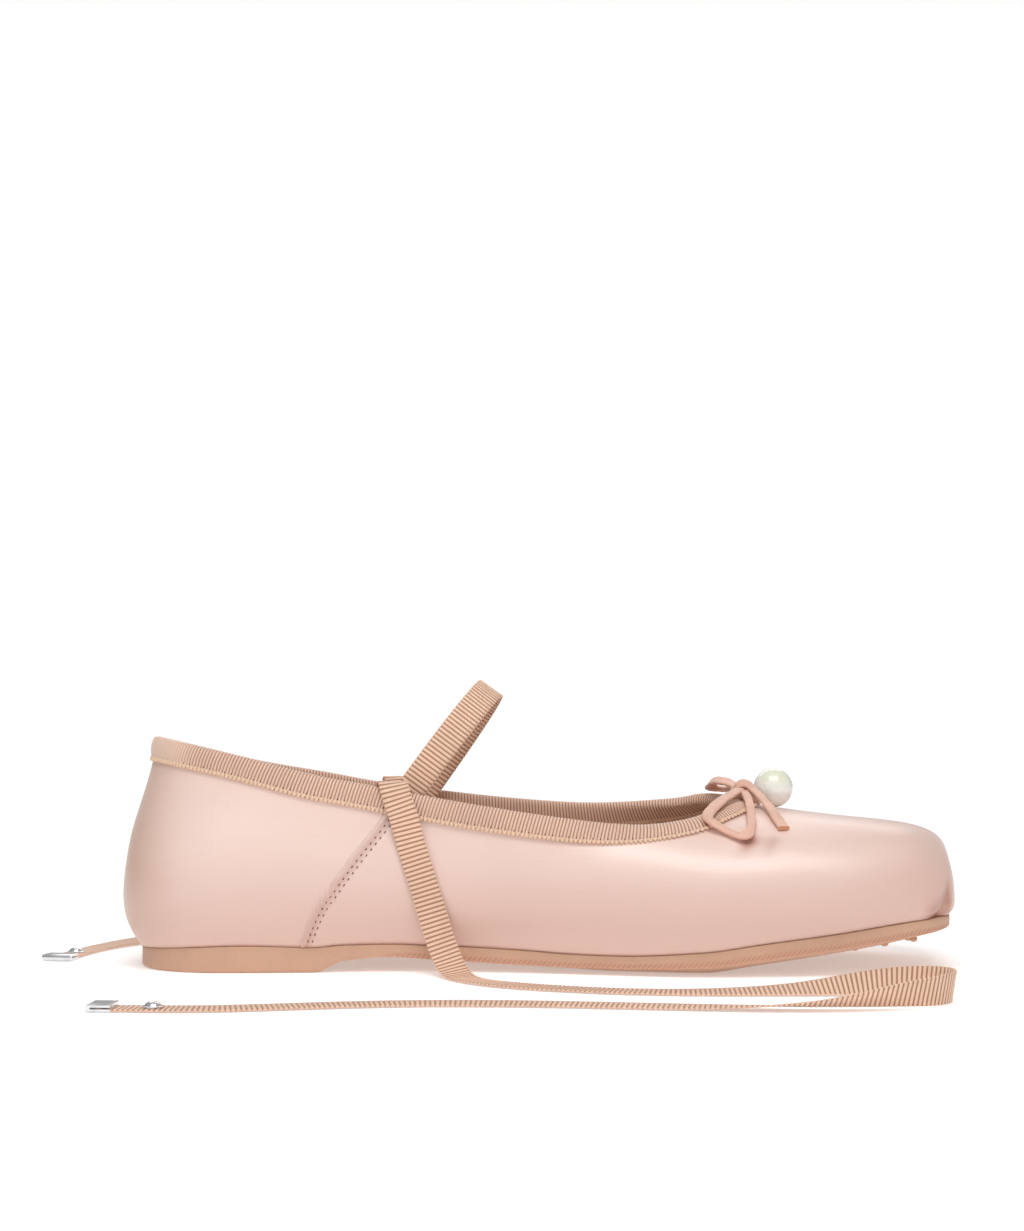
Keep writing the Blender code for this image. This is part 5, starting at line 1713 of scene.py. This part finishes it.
def lace_sections(count, length, seed, spread):
    """Flattened folded lace: full at its edges, with a soft channel and small dents along it."""
    shares, widths = np.array(spread).T
    angles = np.arange(LACE_SIDES) * math.tau / LACE_SIDES
    cosine, sine = np.cos(angles), np.sin(angles)
    across = np.sign(cosine) * np.abs(cosine) ** 0.8 * LACE_WIDTH / 2
    up = np.sign(sine) * np.abs(sine) ** 0.75 * LACE_THICKNESS / 2
    places = np.linspace(0, length, count)[:, None]
    channel = 0.16 * ridge(across, 0, 0.55) * np.sign(up)
    dents = 0.06 * np.sin(places * 1.9 + seed + across * 0.8)
    dents = dents + 0.04 * np.sin(places * 4.3 - across * 1.7 + seed)
    wide = np.interp(places / length, shares, widths) * (1 + 0.04 * np.sin(places * 0.8 + seed))
    rise = up - channel + dents * np.sign(up) * (np.abs(across) < 1.3)
    return np.stack([across * wide, rise], axis=2)


def build_bow(colours):
    """The bow: two loops and two tails of folded lace under a wrapped knot."""
    lace = lace_finish(colours)
    for seed, (name, rows) in enumerate(BOW_ROUTES.items()):
        if name == "bow_tail_near":
            rows = KNOT_CREST + rows
        route = open_spline(rows, LACE_SPACING)
        points, facing = route[:, :3], unit(route[:, 3:])
        length = arc_lengths(points)[-1]
        sections = lace_sections(len(points), length, seed * 1.7, LACE_SPREAD[name])
        across = sections[..., 0] / (LACE_WIDTH / 2)
        cut = np.zeros(across.shape)
        if "tail" in name:
            cut[-1] = 1
        piece = sweep(name + "_lace", points, facing, sections, across=across, cut=cut)
        finish_piece(piece, lace, "lace", name)
    build_knot(lace)


def build_knot(lace):
    """The crossing under the knot's crest: a small wrapped lump with soft folds round it."""
    turns, rows = KNOT_TURNS, KNOT_ROWS
    angles = np.arange(turns) * math.tau / turns
    rings = []
    for polar in np.linspace(0.02, math.pi - 0.02, rows):
        fold = 1 + 0.07 * np.sin(5 * polar + 2.0 * np.cos(angles)) + 0.05 * np.cos(3 * angles + 2 * polar)
        reach = math.sin(polar) ** 0.8 * fold
        level = np.full(turns, -math.cos(polar))
        ring = np.column_stack([reach * np.cos(angles), level, reach * np.sin(angles)])
        rings.append(ring * KNOT_CORE + KNOT_CENTRE)
    rings = np.array(rings)
    rings[..., 2] -= KNOT_CORE_DROP
    across = np.repeat(np.linspace(-1, 1, rows), turns)
    knot = add_mesh("bow_knot_lace", rings, tube(rows, turns), across=across, cut=np.zeros(rows * turns))
    return finish_piece(knot, lace, "lace", "bow_knot")


def build_pearl(colours):
    """The bead, very slightly out of round as nacre is, drilled from side to side."""
    angles = np.arange(PEARL_TURNS) * math.tau / PEARL_TURNS
    centre = np.array(PEARL_CENTRE)

    def ring(along, radius):
        level = np.full(PEARL_TURNS, along)
        return centre + np.column_stack([level, radius * np.cos(angles), radius * np.sin(angles)])

    mouth = math.asin(PEARL_HOLE / PEARL_RADIUS)
    rings = []
    for polar in np.linspace(mouth, math.pi - mouth, PEARL_RINGS + 1):
        uneven = 1 + 0.006 * np.sin(3 * angles + polar * 2) - 0.004 * np.cos(2 * angles - polar)
        rings.append(ring(-PEARL_RADIUS * math.cos(polar), PEARL_RADIUS * uneven * math.sin(polar)))
    rings += [ring(along, PEARL_HOLE) for along in (PEARL_BORE_END, -PEARL_BORE_END)]
    faces = skin(len(rings), PEARL_TURNS, True).tolist()
    pearl = add_mesh("pearl_bead", np.array(rings), faces, 50.0)
    return finish_piece(pearl, pearl_finish(colours), "pearl", "pearl")


# ---------------------------------------------------------------- the stage

CAMERA_PLACE = (-8.5, -620.0, 76.0)
CAMERA_LENS = 72.66
CAMERA_SHIFT = 0.0904
FLOOR_SIZE = 3000.0
SKY_BACK, SKY_FRONT, SKY_ZENITH = 0.5, 0.48, 0.45
SKY_LEFT, SKY_RIGHT = 0.12, 0.44
LAMPS = (
    # name, place, aim, size, power
    ("top_softbox", (20, -450, 860), (0, 0, 20), (700, 450), 5.0),
    ("front_softbox", (-200, -900, 480), (0, 0, 30), (800, 400), 0.45),
    ("back_softbox", (0, 700, 600), (0, 0, 40), (900, 400), 1.8),
)


def add_lamp(name, place, target, size, power):
    lamp = bpy.data.lights.new(name, "AREA")
    lamp.shape = "RECTANGLE"
    lamp.size, lamp.size_y = size[0] * MM, size[1] * MM
    lamp.energy = power
    obj = bpy.data.objects.new(name, lamp)
    obj.location = Vector(place) * MM
    aim = (Vector(target) - Vector(place)).to_track_quat("-Z", "Y")
    obj.rotation_euler = aim.to_euler()
    bpy.context.scene.collection.objects.link(obj)


def studio_sky():
    """White to the camera; to the shoe a soft light from the front and overhead, dim at the sides."""
    world = bpy.data.worlds.new("studio")
    world.use_nodes = True
    sky = Tree(world.node_tree)
    direction = sky.add("ShaderNodeTexCoord", output=0)
    x, y, z = (sky.add("ShaderNodeSeparateXYZ", {}, {"Vector": direction}, axis) for axis in "XYZ")
    beside = x.ramp(-0.9, -0.4, SKY_LEFT, 1.0) * x.ramp(0.35, 0.9, 1.0, SKY_RIGHT)
    around = y.ramp(-0.3, 0.5, SKY_FRONT, SKY_BACK) * beside
    strength = (around - SKY_ZENITH) * z.ramp(0.33, 0.6, 1.0, 0.0) + SKY_ZENITH
    to_camera = sky.add("ShaderNodeLightPath", output="Is Camera Ray")
    strength = strength + (1 - strength) * to_camera
    background = world.node_tree.nodes["Background"]
    world.node_tree.links.new(strength.socket, background.inputs["Strength"])
    background.inputs["Color"].default_value = (1.0, 1.0, 1.0, 1.0)
    return world


def build_stage(colours):
    """A pale floor, soft studio lamps and the level camera."""
    half = FLOOR_SIZE
    corners = [(-half, -half, 0), (half, -half, 0), (half, half, 0), (-half, half, 0)]
    floor = add_mesh("floor", corners, [(0, 1, 2, 3)], closed=False)
    floor.data.materials.append(floor_finish(colours))
    scene = bpy.context.scene
    scene.view_settings.view_transform = "Standard"
    scene.world = studio_sky()
    for lamp in LAMPS:
        add_lamp(*lamp)
    camera = bpy.data.cameras.new("camera")
    camera.sensor_fit = "HORIZONTAL"
    camera.sensor_width = 36.0
    camera.lens = CAMERA_LENS
    camera.shift_y = CAMERA_SHIFT
    camera.clip_start, camera.clip_end = 0.01, 20.0
    viewer = bpy.data.objects.new("camera", camera)
    viewer.location = Vector(CAMERA_PLACE) * MM
    viewer.rotation_euler = (math.radians(90), 0, 0)
    scene.collection.objects.link(viewer)
    scene.camera = viewer


# ---------------------------------------------------------------- operators and panel

def inputs():
    return bpy.context.scene.flat_colours, bpy.context.scene.flat_sizes


class FLAT_OT_stage(bpy.types.Operator):
    """Lay the pale floor and set the lamps and the camera"""

    bl_idname = "flat.stage"
    bl_label = "Stage"

    def execute(self, context):
        build_stage(inputs()[0])
        return {"FINISHED"}


class FLAT_OT_ties(bpy.types.Operator):
    """Make the two ankle ties with their tips and studs"""

    bl_idname = "flat.ties"
    bl_label = "Ankle ties"

    def execute(self, context):
        build_ties(*inputs())
        return {"FINISHED"}


class FLAT_OT_upper(bpy.types.Operator):
    """Make the satin upper, its lining and its side seams"""

    bl_idname = "flat.upper"
    bl_label = "Upper"

    def execute(self, context):
        colours, sizes = inputs()
        build_upper(colours)
        build_lining(colours)
        build_seams(colours, sizes)
        return {"FINISHED"}


class FLAT_OT_binding(bpy.types.Operator):
    """Fold the grosgrain binding over the collar"""

    bl_idname = "flat.binding"
    bl_label = "Collar binding"

    def execute(self, context):
        build_binding(*inputs())
        return {"FINISHED"}


class FLAT_OT_sole(bpy.types.Operator):
    """Make the moulded sole and its tread"""

    bl_idname = "flat.sole"
    bl_label = "Outsole"

    def execute(self, context):
        build_outsole(*inputs())
        build_nubs(inputs()[1])
        return {"FINISHED"}


class FLAT_OT_insole(bpy.types.Operator):
    """Lay the sock lining inside the shoe"""

    bl_idname = "flat.insole"
    bl_label = "Insole"

    def execute(self, context):
        build_insole(inputs()[0])
        return {"FINISHED"}


class FLAT_OT_strap(bpy.types.Operator):
    """Arch the instep strap over the shoe"""

    bl_idname = "flat.strap"
    bl_label = "Instep strap"

    def execute(self, context):
        build_strap(*inputs())
        return {"FINISHED"}


class FLAT_OT_bow(bpy.types.Operator):
    """Tie the lace bow and set the pearl beside it"""

    bl_idname = "flat.bow"
    bl_label = "Bow and pearl"

    def execute(self, context):
        build_bow(inputs()[0])
        build_pearl(inputs()[0])
        return {"FINISHED"}


OPERATORS = (
    FLAT_OT_stage,
    FLAT_OT_ties,
    FLAT_OT_upper,
    FLAT_OT_binding,
    FLAT_OT_sole,
    FLAT_OT_insole,
    FLAT_OT_strap,
    FLAT_OT_bow,
)


class FLAT_PT_pieces(bpy.types.Panel):
    """Lists the shoe's pieces and its sizes and colours"""

    bl_idname = "FLAT_PT_pieces"
    bl_label = "Ballet Flat"
    bl_space_type = "VIEW_3D"
    bl_region_type = "UI"
    bl_category = "Ballet Flat"

    def draw(self, context):
        for operator in OPERATORS:
            self.layout.operator(operator.bl_idname)
        for group in (context.scene.flat_sizes, context.scene.flat_colours):
            for key in group.__annotations__:
                self.layout.prop(group, key)


CLASSES = (ShoeSizes, ShoeColours, *OPERATORS, FLAT_PT_pieces)


def register():
    for each in CLASSES:
        bpy.utils.register_class(each)
    bpy.types.Scene.flat_sizes = bpy.props.PointerProperty(type=ShoeSizes)
    bpy.types.Scene.flat_colours = bpy.props.PointerProperty(type=ShoeColours)


def unregister():
    del bpy.types.Scene.flat_colours
    del bpy.types.Scene.flat_sizes
    for each in reversed(CLASSES):
        bpy.utils.unregister_class(each)


def main():
    register()
    for operator in OPERATORS:
        getattr(bpy.ops.flat, operator.bl_idname.split(".")[1])()


if __name__ == "__main__":
    main()
